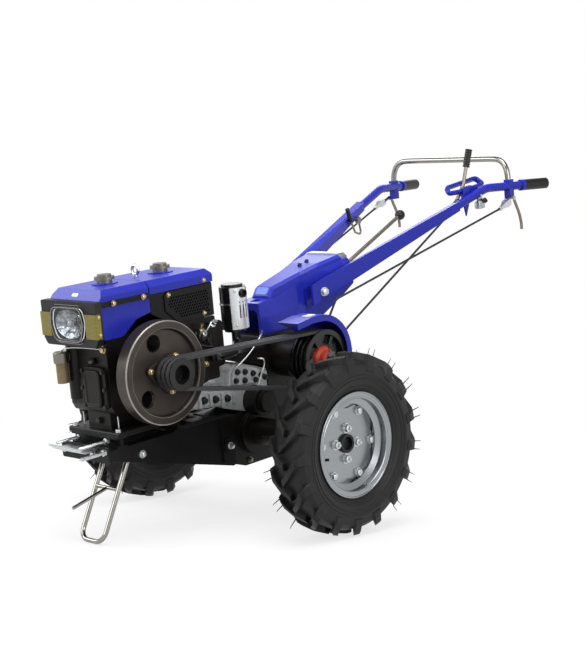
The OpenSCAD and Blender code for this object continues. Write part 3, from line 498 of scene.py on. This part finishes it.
# %% Brass-coloured bolts of the tank and the grille
brass = surface("yellow_zinc_plate", (8, 3.0), ("#A58C5C", "#E0D2B2"), metallic=1.0, roughness=0.32)
spots = [((589, 124, 534.5), 0.85), ((470, 124, 534.5), 0.85), ((213, 120, 545), 0.7),
         ((364, 118, 522), 0.7), ((221, 118, 440), 0.7), ((659, 136, 504), 0.55), ((659, 136, 450), 0.55)]
places = [seat((x, side * y, z), (0, side, 0), size) for (x, y, z), size in spots for side in (1, -1)]
places += [seat((612, 84, 394), (1, 0, 0), 1.1), seat((612, 60, 402), (1, 0, 0), 0.8)]
places += [seat((213, 95, 271), (0, 1, 0), 0.9)]
copies(bolt, "tank_bolts", brass, "chassis", places)

# %% Zinc bolts of the frame and arms, and rivets of the muffler shield
places = [seat((-345, side * 114.5, 415), (0.226, side * 0.974, 0), 1.5) for side in (1, -1)]
places += [seat((x, side * 104, 138), (0, 0, 1), 1.0) for x in (366, 604) for side in (1, -1)]
places += [seat((658.3, y, 76), (1, 0, 0), 1.0) for y in (-104, 40)]
places += [seat((530, side * 118, 52), (0, side, 0), 0.9) for side in (1, -1)]
places += [seat((165, side * 122, -8), (0, side, 0), 1.2) for side in (1, -1)]
places += [seat((-1213, side * 303.6, 633), (0, side, 0), 0.75) for side in (1, -1)]
muffler_x, muffler_y, shield_radius = 22, 45, 47
for angle, z in ((0.98, 480), (0.94, 366)):
    out = Vector((math.cos(angle), math.sin(angle), 0))
    places.append(seat(Vector((muffler_x, muffler_y, z)) + shield_radius * out, out, 0.45))
copies(bolt, "frame_bolts", zinc, "chassis", places)

# %% Black bolts of the castings
cover_x, cover_y, cover_z = 625, 34, 272
places = [seat((cover_x, cover_y + y, cover_z + z), (1, 0, 0), 0.75)
          for y, z in ((-48, -54), (48, -54), (-48, 54), (48, 54), (-52, 0), (52, 0))]
places += [seat((x, 84, z), (0, 1, 0), 1.0)
           for x, z in ((70, 214), (36, 208), (0, 196), (-36, 183), (-54, 172), (-10, 172), (40, 180),
                        (80, 186))]
places += [seat((592, 6, 162), (1, 0, 0), 1.2),
           seat((-353, 0, 501.6), (-0.25, 0, 0.97), 0.8),
           seat((-390, 0, 509.5), (-0.17, 0, 0.98), 0.8)]
places += [seat((x, 70, 118 + 0.14 * x), (0, 1, 0), 1.25) for x in (114, 166, 216)]
copies(bolt, "casting_bolts", rodding, "chassis", places)

# %% Dull bolts of the gearbox
places = [seat((x, side * 75, z), (0, side, 0), 1.0) for side in (1, -1)
          for x, z in ((-258, 60), (-258, 180), (-240, -50), (-110, -96), (40, -92), (118, 20),
                       (-90, 290))]
copies(bolt, "gearbox_bolts", worn, "chassis", places)

# %% Wheel and flywheel bolts
disc_circle, disc_out = 115, 6
for name, side in sides:
    ring = [seat((x, side * disc_out, z), (0, side, 0), 1.4, hub(side))
            for x, z in circle(disc_circle, range(0, 360, 60))]
    copies(bolt, name + "_wheel_bolts", zinc, name + "_wheel", ring)
crank_x, crank_z = 475, 304
flange_circle, flange_y = 62, 202
flange = [seat((crank_x + x, flange_y, crank_z + z), (0, 1, 0))
          for x, z in circle(flange_circle, (14, 134, 254))]
copies(bolt, "flywheel_bolts", brass, "crank", flange)
bpy.data.objects.remove(bolt)

# %% [markdown]
# ## Hub nuts
# Each wheel hangs on four studs. Their nuts are zinc plated and stand out against the painted
# plate, so each gets a plated cap: a hexagon with a chamfered top, the stud's end that comes
# through it, and a washer below.

# %% Plated hub nuts
begin()
bpy.ops.mesh.primitive_cylinder_add(vertices=6, radius=0.0128, depth=0.017, location=(0, 0, 0.0125),
                                    rotation=(0, 0, math.radians(30)))
nut = bpy.context.object
bpy.ops.object.transform_apply()
pick(lambda c, n: n.z > 0.9)
bpy.ops.mesh.inset(thickness=0.0022)
bpy.ops.transform.translate(value=(0, 0, 0.0014))
bpy.ops.mesh.inset(thickness=0.004)
bpy.ops.mesh.extrude_region_move(TRANSFORM_OT_translate={"value": (0, 0, 0.006)})
bpy.ops.mesh.primitive_cylinder_add(vertices=20, radius=0.0165, depth=0.0045, location=(0, 0, 0.0062))
clean()
stud_circle = 49
for name, side in sides:
    ring = [seat((x, 0, z), (0, side, 0), 1.0, hub(side))
            for x, z in circle(stud_circle, range(0, 360, 90))]
    copies(nut, name + "_wheel_hub_nuts", zinc, name + "_wheel", ring)
bpy.data.objects.remove(nut)

# %% [markdown]
# ## Studs
# Two long threaded studs stand out of the nose, and four hold the engine's foot. A stud is a
# bar whose end is turned down a little, with a nut run on to it.

# %% Studs with their nuts
begin()
bpy.ops.mesh.primitive_cylinder_add(vertices=14, radius=0.005, depth=0.1, location=(0, 0, 0.05))
stud = bpy.context.object
bpy.ops.object.transform_apply()
pick(lambda c, n: n.z > 0.9)
bpy.ops.mesh.inset(thickness=0.0012)
bpy.ops.transform.translate(value=(0, 0, 0.002))
bpy.ops.mesh.primitive_cylinder_add(vertices=6, radius=0.0098, depth=0.009, location=(0, 0, 0.0045))
pick(lambda c, n: n.z > 0.9 and 0.008 < c.z < 0.0095)
bpy.ops.mesh.inset(thickness=0.001)
bpy.ops.transform.translate(value=(0, 0, 0.0007))
clean()
places = [seat((620, 66, 110), (1, 0, 0), 1.1), seat((620, -70, 110), (1, 0, 0), 0.9)]
places += [seat((x, side * 84, 138), (0, 0, 1), 0.42) for x in (585, 385) for side in (1, -1)]
copies(stud, "nose_studs", zinc, "chassis", places)
bpy.data.objects.remove(stud)

# %% [markdown]
# ## Rubber hairs
# A tyre mould has fine vent holes, and the rubber that runs into them stays on a new tyre as
# thin hairs. Each lug carries two at its outer end, and the sidewall a few short ones. A hair is
# a five-sided cone, with its tip moved over so that it hangs a little.

# %% Hairs on the lugs
begin()
bpy.ops.mesh.primitive_cone_add(vertices=5, radius1=0.0016, radius2=0.0009, depth=0.022,
                                location=(0, 0, 0.011))
hair = bpy.context.object
bpy.ops.object.transform_apply()
pick(lambda c, n: n.z > 0.9)
bpy.ops.mesh.extrude_region_move(TRANSFORM_OT_translate={"value": (0.003, 0, 0.004)})
clean()
lugs, first_lug, half_lug = 17, 17, 2.6
lug_radius, lug_out, lug_lean = 281, 57, 0.18
wall_radius, wall_out, wall_lean = 213, 66, 0.4
short, near_ground = 0.28, -235
for name, side in sides:
    places = []
    for k in range(2 * lugs):
        half = side if k % 2 == 0 else -side
        length = 0.95 + 0.35 * ((7 * k) % 5) / 4
        middle = first_lug + 180 / lugs * k
        for x, z in circle(1, (middle - half_lug, middle + half_lug)):
            if lug_radius * z > near_ground:
                places.append(seat((lug_radius * x, half * lug_out, lug_radius * z),
                                   (x, lug_lean * half, z), length, hub(side)))
    for x, z in circle(1, range(7, 367, 30)):
        places.append(seat((wall_radius * x, side * wall_out, wall_radius * z),
                           (wall_lean * x, side, wall_lean * z), short, hub(side)))
    copies(hair, name + "_tyre_hairs", nodes[name + "_tyre"].data.materials[0], name + "_wheel", places)
bpy.data.objects.remove(hair)

# %% [markdown]
# ## The headlamp's inside
# Behind the clear cover sits a bright bowl that throws the light forward, with the bulb in its
# middle. The bowl starts as a disc: each inset pushed further back gives the next ring of the
# curve, and its facets stay flat, because each throws its own beam. Each facet is painted bright
# in its middle and dark at its edge, a painted reflection. The cover has a bright border, and
# thin chrome strips above and below it stand in for highlights along the housing, painted
# highlights. Both are made from the outline of the cover itself.

# %% Reflector and bulb
lamp_z = 0.478
begin()
bpy.ops.mesh.primitive_circle_add(vertices=20, radius=0.06, fill_type="NGON")
bowl = bpy.context.object
bpy.ops.object.mode_set(mode="EDIT")
bpy.ops.mesh.select_all(action="SELECT")
for step, back in ((0.006, 0.004), (0.012, 0.006), (0.016, 0.005), (0.012, 0.002)):
    bpy.ops.mesh.inset(thickness=step)
    bpy.ops.transform.translate(value=(0, 0, -back))
bpy.ops.mesh.inset(thickness=0.002)
bpy.ops.mesh.extrude_region_move(TRANSFORM_OT_translate={"value": (0, 0, 0.006)})
clean()
wall = bowl.modifiers.new("wall", "SOLIDIFY")
wall.thickness = 0.0015
wall.offset = -1
bpy.ops.object.modifier_apply(modifier="wall")
shape = Matrix.Diagonal((1.12, 0.76, 1, 1))
forward = Matrix.Rotation(math.radians(90), 4, "Y") @ Matrix.Rotation(math.radians(90), 4, "Z")
mirror, shader, link = new_material("metallised_reflector", metallic=1.0, roughness=0.1)
where = add(mirror, "ShaderNodeTexCoord").outputs["Object"]
# Each cell is painted bright in its middle and dark at its edge, a painted reflection of the facets
facet_glint_cells = add(mirror, "ShaderNodeTexVoronoi", {"Vector": where, "Scale": repeats(15)})
tint = add(mirror, "ShaderNodeMix", {0: facet_glint_cells.outputs["Distance"], 6: linear("#BDBEC6"),
                                     7: linear("#34353A")}, data_type="RGBA")
link.new(tint.outputs[2], shader.inputs["Base Color"])
skin = add(mirror, "ShaderNodeBump", {"Height": facet_glint_cells.outputs["Distance"], "Strength": 0.4,
                                      "Distance": 0.003})
link.new(skin.outputs[0], shader.inputs["Normal"])
in_lamp = chassis @ Matrix.Translation((0.6635, 0, lamp_z))
keep("lamp_reflector", mirror, "chassis", in_lamp @ forward @ shape)
bpy.ops.object.shade_flat()

begin()
bpy.ops.mesh.primitive_uv_sphere_add(segments=16, ring_count=8, radius=0.011)
pick(lambda c, n: c.x < -0.006)
bpy.ops.mesh.extrude_region_move(TRANSFORM_OT_translate={"value": (-0.008, 0, 0)})
shell, shader, link = new_material("bulb_glass", base_color=linear("#F4F1E6"), roughness=0.12, ior=1.5,
                                   transmission_weight=0.4)
where = add(shell, "ShaderNodeTexCoord").outputs["Object"]
cloud = add(shell, "ShaderNodeTexNoise", {"Vector": where, "Scale": repeats(6), "Detail": 2.0})
skin = add(shell, "ShaderNodeBump", {"Height": cloud.outputs[0], "Strength": 0.1, "Distance": 0.0005})
link.new(skin.outputs[0], shader.inputs["Normal"])
keep("lamp_bulb", shell, "chassis", chassis @ Matrix.Translation((0.6585, 0, lamp_z)))

# %% Border of the headlamp, and strips that stand for painted highlights
def lamp_ring(name, material, grow, back, width, thick, all_round):
    begin()
    ring = nodes["lamp_lens"].copy()
    ring.data = nodes["lamp_lens"].data.copy()
    bpy.context.collection.objects.link(ring)
    ring.select_set(True)
    bpy.context.view_layer.objects.active = ring
    ring.data.transform(chassis.inverted() @ ring.matrix_world)
    ring.matrix_world = Matrix()
    bpy.ops.object.mode_set(mode="EDIT")
    bpy.ops.mesh.select_all(action="SELECT")
    bpy.ops.mesh.remove_doubles(threshold=1e-5)
    front = max(v.co.x for v in ring.data.vertices)
    pick(lambda c, n: c.x < front - 1e-4)
    bpy.ops.mesh.delete(type="FACE")
    bpy.ops.mesh.select_all(action="SELECT")
    bpy.ops.mesh.dissolve_limited(angle_limit=math.radians(2))
    bpy.ops.mesh.select_all(action="SELECT")
    bpy.ops.transform.resize(value=(1, *grow), center_override=(front, 0, lamp_z))
    bpy.ops.transform.translate(value=(-back, 0, 0))
    bpy.ops.mesh.inset(thickness=width)
    bpy.ops.mesh.delete(type="FACE")
    if not all_round:
        pick(lambda c, n: abs(c.y) > 0.06)
        bpy.ops.mesh.delete(type="FACE")
    bpy.ops.object.mode_set(mode="OBJECT")
    wall = ring.modifiers.new("wall", "SOLIDIFY")
    wall.thickness = thick
    wall.offset = 0
    bpy.ops.object.modifier_apply(modifier="wall")
    keep(name, material, "chassis", chassis)


lamp_ring("lamp_border", chrome, (1.008, 1.01), 0.001, 0.003, 0.004, all_round=True)
# Chrome strips above and below the cover: painted highlights along the housing
lamp_ring("lamp_highlight_strips", chrome, (1.09, 1.13), 0.0092, 0.0016, 0.002, all_round=False)

# %% [markdown]
# ## Pipes and rods
# Steel pipes take fuel over the gear housing, to the filter, and from the pump to the injector
# and back, and a thin hooked rod works the gear shift. All are bent from straight stock, so each
# is a path with a round section that is turned into a mesh at the end. Sizes are in millimetres.

# %% Bent pipes
def bent(name, material, radius, points, place=chassis, closed=False):
    begin()
    bpy.ops.curve.primitive_nurbs_path_add()
    path = bpy.context.object
    line = path.data.splines[0]
    line.points.add(len(points) - len(line.points))
    for knot, point in zip(line.points, points):
        knot.co = (*(Vector(point) / 1000), 1)
    line.use_endpoint_u = not closed
    line.use_cyclic_u = closed
    line.order_u = 3
    path.data.bevel_depth = radius / 1000
    path.data.bevel_resolution = 6
    path.data.resolution_u = 6
    path.data.use_fill_caps = not closed
    bpy.ops.object.convert(target="MESH")
    return keep(name, material, "chassis", place)


bent("fuel_pipe", zinc, 2.6, [(-88, 57, 322), (-66, 78, 322), (-44, 92, 314), (-12, 94, 286),
                              (24, 94, 261), (62, 93, 240), (84, 90, 230), (88, 82, 220)])
bent("shift_rod", zinc, 3.0, [(-4, 100, 152), (-24, 100, 190), (-46, 100, 222), (-42, 99, 238),
                              (-34, 92, 240), (-30, 83, 240)])
bent("injection_pipe", zinc, 2.6, [(236, 120, 372), (236, 136, 384), (214, 140, 410), (188, 128, 414),
                                   (176, 116, 402)])
bent("filter_pipe", zinc, 2.4, [(652, -78, 383), (652, -70, 394), (640, -40, 398), (628, 0, 398),
                                (622, 40, 397), (621, 64, 397), (621, 84, 395)])
bent("return_pipe", rodding, 3.2, [(250, 94, 345), (244, 112, 340), (214, 116, 330), (182, 104, 322),
                                   (170, 86, 316)])

# %% [markdown]
# ## Steering levers
# Each lever is a round bar that hangs under its handle in one smooth curve, as a bicycle's brake
# lever does. It stands for the cut plate in the solids, and a bolt holds it to its bracket.

# %% Curved levers
lever_y = 299.2
curve = [(-1172, 622), (-1198, 634), (-1214, 640), (-1223, 624), (-1232, 604), (-1243, 584),
         (-1251, 564), (-1256, 546), (-1259, 530), (-1259, 510)]
levers = [bent("steering_bars", worn, 5.6, [(x, side * lever_y, z) for x, z in curve])
          for side in (1, -1)]
begin()
for lever in levers:
    lever.select_set(True)
bpy.context.view_layer.objects.active = levers[0]
bpy.ops.object.join()
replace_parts(levers[0], "steering_levers")

# %% [markdown]
# ## Arch bar
# A chrome tube joins the two handles. It leaves its brackets upright and turns over in a wide bend,
# so the points of its path lie close together there. It stands for the tube in the solids.

# %% Arch bar
left_half = [(-1219, 279, 700.5), (-1220, 278, 724), (-1223, 265, 757), (-1225, 239, 776),
             (-1225, 205, 779), (-1225, 100, 778.5)]
right_half = [(x, -y, z) for x, y, z in reversed(left_half)]
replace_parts(bent("arch_tube", chrome, 11, left_half + right_half), "arch_bar")

# %% [markdown]
# ## Rolled rim of the lever guide
# The clutch lever moves in a slotted guide. The guide's edge is rolled over, so that it doesn't
# cut the hand: a round bar that runs once round the slot, as a closed path.

# %% Rolled rim
slope, tilt = math.radians(5.6), math.radians(-35)
guide = chassis @ Matrix.Translation((-1.038, 0.206, 0.694))
guide = guide @ Matrix.Rotation(slope, 4, "Y") @ Matrix.Rotation(tilt, 4, "X")
edge_z = 6
edge = [(20, 20), (60, 15), (94, 11), (99, 2), (80, -20), (60, -20), (-60, -20), (-98, -20), (-98, 0),
        (-98, 20), (-60, 20)]
bent("guide_rim", blue, 6.5, [(x, y, edge_z) for x, y in edge], guide, closed=True)

# %% [markdown]
# ## Turned fittings
# The injection pump, the injector, valves, caps and knobs are round bodies from a lathe. Half of
# each outline is drawn as a row of points, distance from the axis and height in millimetres, and
# spinning it about the axis gives the body.

# %% Turned fittings
def spun(outline, steps=18):
    begin()
    bpy.context.tool_settings.mesh_select_mode = (True, False, False)
    bpy.ops.mesh.primitive_plane_add(size=0.001)
    bpy.ops.object.mode_set(mode="EDIT")
    bpy.ops.mesh.select_all(action="SELECT")
    bpy.ops.mesh.merge(type="CENTER")
    here = (0, 0)
    for count, (r, z) in enumerate(outline):
        step = ((r - here[0]) / 1000, 0, (z - here[1]) / 1000)
        if count == 0:
            bpy.ops.transform.translate(value=step)
        else:
            bpy.ops.mesh.extrude_region_move(TRANSFORM_OT_translate={"value": step})
        here = (r, z)
    bpy.ops.mesh.select_all(action="SELECT")
    bpy.ops.mesh.spin(steps=steps, angle=2 * math.pi, center=(0, 0, 0), axis=(0, 0, 1))
    clean()
    return bpy.context.object


def turned(name, material, outline, place, body="chassis"):
    spun(outline)
    keep(name, material, body, place)


turned("pump_body", rodding, [(0, -2), (22, -2), (22, 8), (15, 10), (15, 24), (11, 26), (11, 32), (0, 32)],
       seat((238, 95, 366), (0, 1, 0)))
turned("pump_union", zinc, [(0, 0), (9, 0), (9, 8), (5, 9), (5, 18), (0, 18)],
       seat((236, 124, 372), (0, 0.8, 0.6), 0.8))
turned("delivery_valve", brass, [(0, -6), (10, -6), (10, 6), (7, 8), (7, 20), (9, 21), (9, 29), (0, 29)],
       seat((238, 112, 384), (0, 0.25, 0.97), 0.9))
turned("bleed_screw", zinc, [(0, -4), (7, -4), (7, 3), (4, 4), (4, 12), (0, 12)],
       seat((216, 95, 380), (0, 1, 0)))
turned("feed_union", rodding, [(0, -4), (12, -4), (12, 6), (8, 7), (8, 19), (0, 19)],
       seat((206, 95, 350), (0, 1, 0)))
turned("injector", zinc,
       [(0, -4), (9, -4), (9, 10), (12, 11), (12, 20), (7, 22), (7, 34), (4, 35), (4, 44), (0, 44)],
       seat((178, 88, 386), (-0.1, 0.85, 0.5), 0.9))
turned("head_stud", rodding, [(0, -8), (6, -8), (6, 0), (3.6, 1), (3.6, 30), (2.6, 31), (0, 31)],
       seat((190, 100, 334), (0, 0.05, 1)))
turned("muffler_band", zinc, [(44.2, -3), (46.5, -3), (46.5, 3), (44.2, 3), (44.2, -3)],
       seat((muffler_x, muffler_y, 436), (0, 0, 1)))
turned("filter_head", worn, [(0, 34), (20, 34), (24.5, 30), (24.5, 2), (23.2, 0), (23.2, 30), (0, 33)],
       seat((652, -78, 351), (0, 0, 1)))
for name, side in sides:
    body = name + "_wheel"
    turned("valve_" + body, plastic, [(0, -3), (7, -3), (5, 12), (4, 22), (4.6, 23), (4.6, 32), (0, 32)],
           seat((141, side * 22, -38), (-0.55, side * 0.8, 0.15), 1.0, hub(side)), body)
turned("breather_cap", plastic, [(0, -6), (10, -6), (10, 4), (15, 5), (16, 8), (15, 14), (9, 17), (0, 17)],
       seat((618, 34, 352), (0.75, 0, 0.66), 0.75))
turned("switch_knob", plastic, [(0, -10), (5, -10), (5, 2), (9, 4), (10, 8), (10, 15), (7, 18), (0, 18)],
       seat((-1078, 262, 634), (-0.6, 0.55, 0.55)))

# %% [markdown]
# ## Rings on the sidewalls
# A tyre's wall carries thin raised rings, which guide the eye of the fitter who seats it on the
# rim. Their section is drawn along the slope of the wall, a little under its skin between the
# rings, and spun into one piece for each wall.

# %% Sidewall rings
sidewall = ((170, 47.5), (195.8, 63), (225.65, 70))


def wall_point(r, lift):
    low, high = sidewall[:2] if r < sidewall[1][0] else sidewall[1:]
    rise = (high[1] - low[1]) / (high[0] - low[0])
    return r, low[1] + rise * (r - low[0]) + lift


section = []
for r, width, lift in ((177, 3, 1.2), (186, 3, 1.2), (205, 5, 1.6), (217, 5, 1.6)):
    section += [wall_point(r - 1, -1), wall_point(r, lift), wall_point(r + width, lift),
                wall_point(r + width + 1, -1)]
section += [wall_point(223, -4), wall_point(195.7, -4), wall_point(176, -4), section[0]]
rings = spun(section, 120)
for name, side in sides:
    walls = [seat((0, 0, 0), (0, way, 0), 1.0, hub(side)) for way in (1, -1)]
    copies(rings, name + "_tyre_rings", nodes[name + "_tyre"].data.materials[0], name + "_wheel", walls)
bpy.data.objects.remove(rings)

# %% [markdown]
# ## Rolled edges of the rims
# A pressed rim ends in a rolled lip, and turns into the well over a soft edge. Light runs round
# both as a bright line. One section holds the two, and dips under the flat of the rim between.

# %% Rolled rim edges
section = [(169.5, 49), (169.6, 51.5), (168.6, 53.6), (166.6, 54.4), (164.6, 53.6), (163.4, 51.2),
           (160, 50.6), (155.6, 50), (154, 51), (151.8, 51.7), (149.3, 51.2), (147.2, 49.4), (146.5, 46.8),
           (147, 44), (150.5, 44), (152, 47), (160, 48.5), (166, 48.5), (169.5, 49)]
lip = spun(section, 96)
for name, side in sides:
    faces = [seat((0, 0, 0), (0, way, 0), 1.0, hub(side)) for way in (1, -1)]
    copies(lip, name + "_rim_lips", silver, name + "_wheel", faces)
bpy.data.objects.remove(lip)

# %% [markdown]
# ## Plain plates and the raised cover
# The sloping front of the console's lid carries a pale blue plate, and two small white ones sit
# on the tank and the belt guard. The engine's front cover has a raised middle.
# Each starts as a block whose upright edges are rounded. The top of a plate is set in and
# lowered, which leaves a rim, and the top of the cover is set in and lifted.

# %% Rounded blocks
def rounded_block(length, width, height, corner):
    begin()
    bpy.ops.mesh.primitive_cube_add(size=0.001)
    bpy.ops.transform.resize(value=(length, width, height))
    bpy.ops.object.transform_apply()
    bpy.context.tool_settings.mesh_select_mode = (False, True, False)
    block = bpy.context.object.data
    for group in (block.vertices, block.edges, block.polygons):
        for item in group:
            item.select = False
    for line in block.edges:
        ends = [block.vertices[i].co for i in line.vertices]
        line.select = abs(ends[0].z - ends[1].z) > 0.0005
    bpy.ops.object.mode_set(mode="EDIT")
    bpy.ops.mesh.bevel(offset=corner / 1000, segments=5, affect="EDGES")
    bpy.context.tool_settings.mesh_select_mode = (False, False, True)
    pick(lambda c, n: n.z > 0.9)


def plain_plate(name, material, length, width, place):
    rounded_block(length, width, 0.075 * length, 0.15 * length)
    bpy.ops.mesh.inset(thickness=0.00005 * length)
    bpy.ops.transform.translate(value=(0, 0, -0.0006))
    keep(name, material, "chassis", place)


# %% Plates and cover
pale = surface("pale_blue_plate", (10, 4.0), ("#4E68C4", "#7F98E0"), roughness=0.5, ior=1.4)
plain_plate("console_plate", pale, 54, 28, seat((-161, 0, 442.5), (0.797, 0, 0.604)))

white = surface("white_plate", (10, 4.0), ("#BFC4CC", "#E4E7EB"), roughness=0.35, coat_weight=0.2)
plain_plate("tank_plate", white, 30, 12, seat((627, -5, 561), (0.794, 0, 0.607)))
plain_plate("guard_plate", white, 40, 30, seat((-112, 256, 379), (0, 0, 1)))

rounded_block(76, 114, 14, 16)
for rim, lift in ((0.002, 0.0014), (0.002, 0.0006), (0.005, 0), (0.002, -0.002)):
    bpy.ops.mesh.inset(thickness=rim)
    bpy.ops.transform.translate(value=(0, 0, lift))
keep("cover_panel", cast, "chassis", seat((cover_x, cover_y, cover_z), (1, 0, 0)))

# %% [markdown]
# ## Switch and clevises
# A small switch hangs under the left bar, and each steering rod ends in a zinc plated fork,
# called a clevis, that is pinned to its lever.

# %% Switch box and clevises
begin()
bpy.ops.mesh.primitive_cube_add(size=0.03)
bpy.ops.transform.resize(value=(1.2, 0.8, 1.0))
bpy.ops.object.transform_apply()
bpy.ops.object.mode_set(mode="EDIT")
bpy.ops.mesh.select_all(action="SELECT")
bpy.ops.mesh.bevel(offset=0.003, segments=2, affect="EDGES")
pick(lambda c, n: n.z > 0.95)
bpy.ops.mesh.inset(thickness=0.004)
bpy.ops.mesh.extrude_region_move(TRANSFORM_OT_translate={"value": (0, 0, 0.034)})
pick(lambda c, n: n.y > 0.95)
bpy.ops.mesh.inset(thickness=0.006)
bpy.ops.mesh.extrude_region_move(TRANSFORM_OT_translate={"value": (0, 0.006, 0)})
keep("switch_box", zinc, "chassis", chassis @ Matrix.Translation((-1.069, 0.254, 0.626)))

begin()
bpy.ops.mesh.primitive_cube_add(size=0.016)
bpy.ops.object.transform_apply()
pick(lambda c, n: n.x > 0.95)
bpy.ops.mesh.extrude_region_move(TRANSFORM_OT_translate={"value": (0.012, 0, 0)})
bpy.ops.transform.resize(value=(1, 0.55, 0.55))
bpy.ops.mesh.extrude_region_move(TRANSFORM_OT_translate={"value": (0.014, 0, 0)})
pick(lambda c, n: n.x < -0.95)
bpy.ops.mesh.inset(thickness=0.003)
bpy.ops.mesh.extrude_region_move(TRANSFORM_OT_translate={"value": (-0.006, 0, 0)})
clean()
fork = bpy.context.object
along_rod = Matrix.Rotation(math.radians(22), 4, "Y") @ Matrix.Scale(1.45, 4)
places = [chassis @ Matrix.Translation((-1.1655, side * 0.3058, 0.6204)) @ along_rod for side in (1, -1)]
copies(fork, "clevises", zinc, "chassis", places)
bpy.data.objects.remove(fork)

# %% [markdown]
# ## Size at the end
# The box of the dressed tractor is measured against the box of its solids, and the growth is printed.

# %% Sizes and the end
whole = [[float(v) for v in corner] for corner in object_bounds()]
cad_size = Vector(cad_box[1]) - Vector(cad_box[0])
grown = Vector(whole[1]) - Vector(whole[0]) - cad_size
print("grown by mm:", [round(1000 * v, 1) for v in grown])
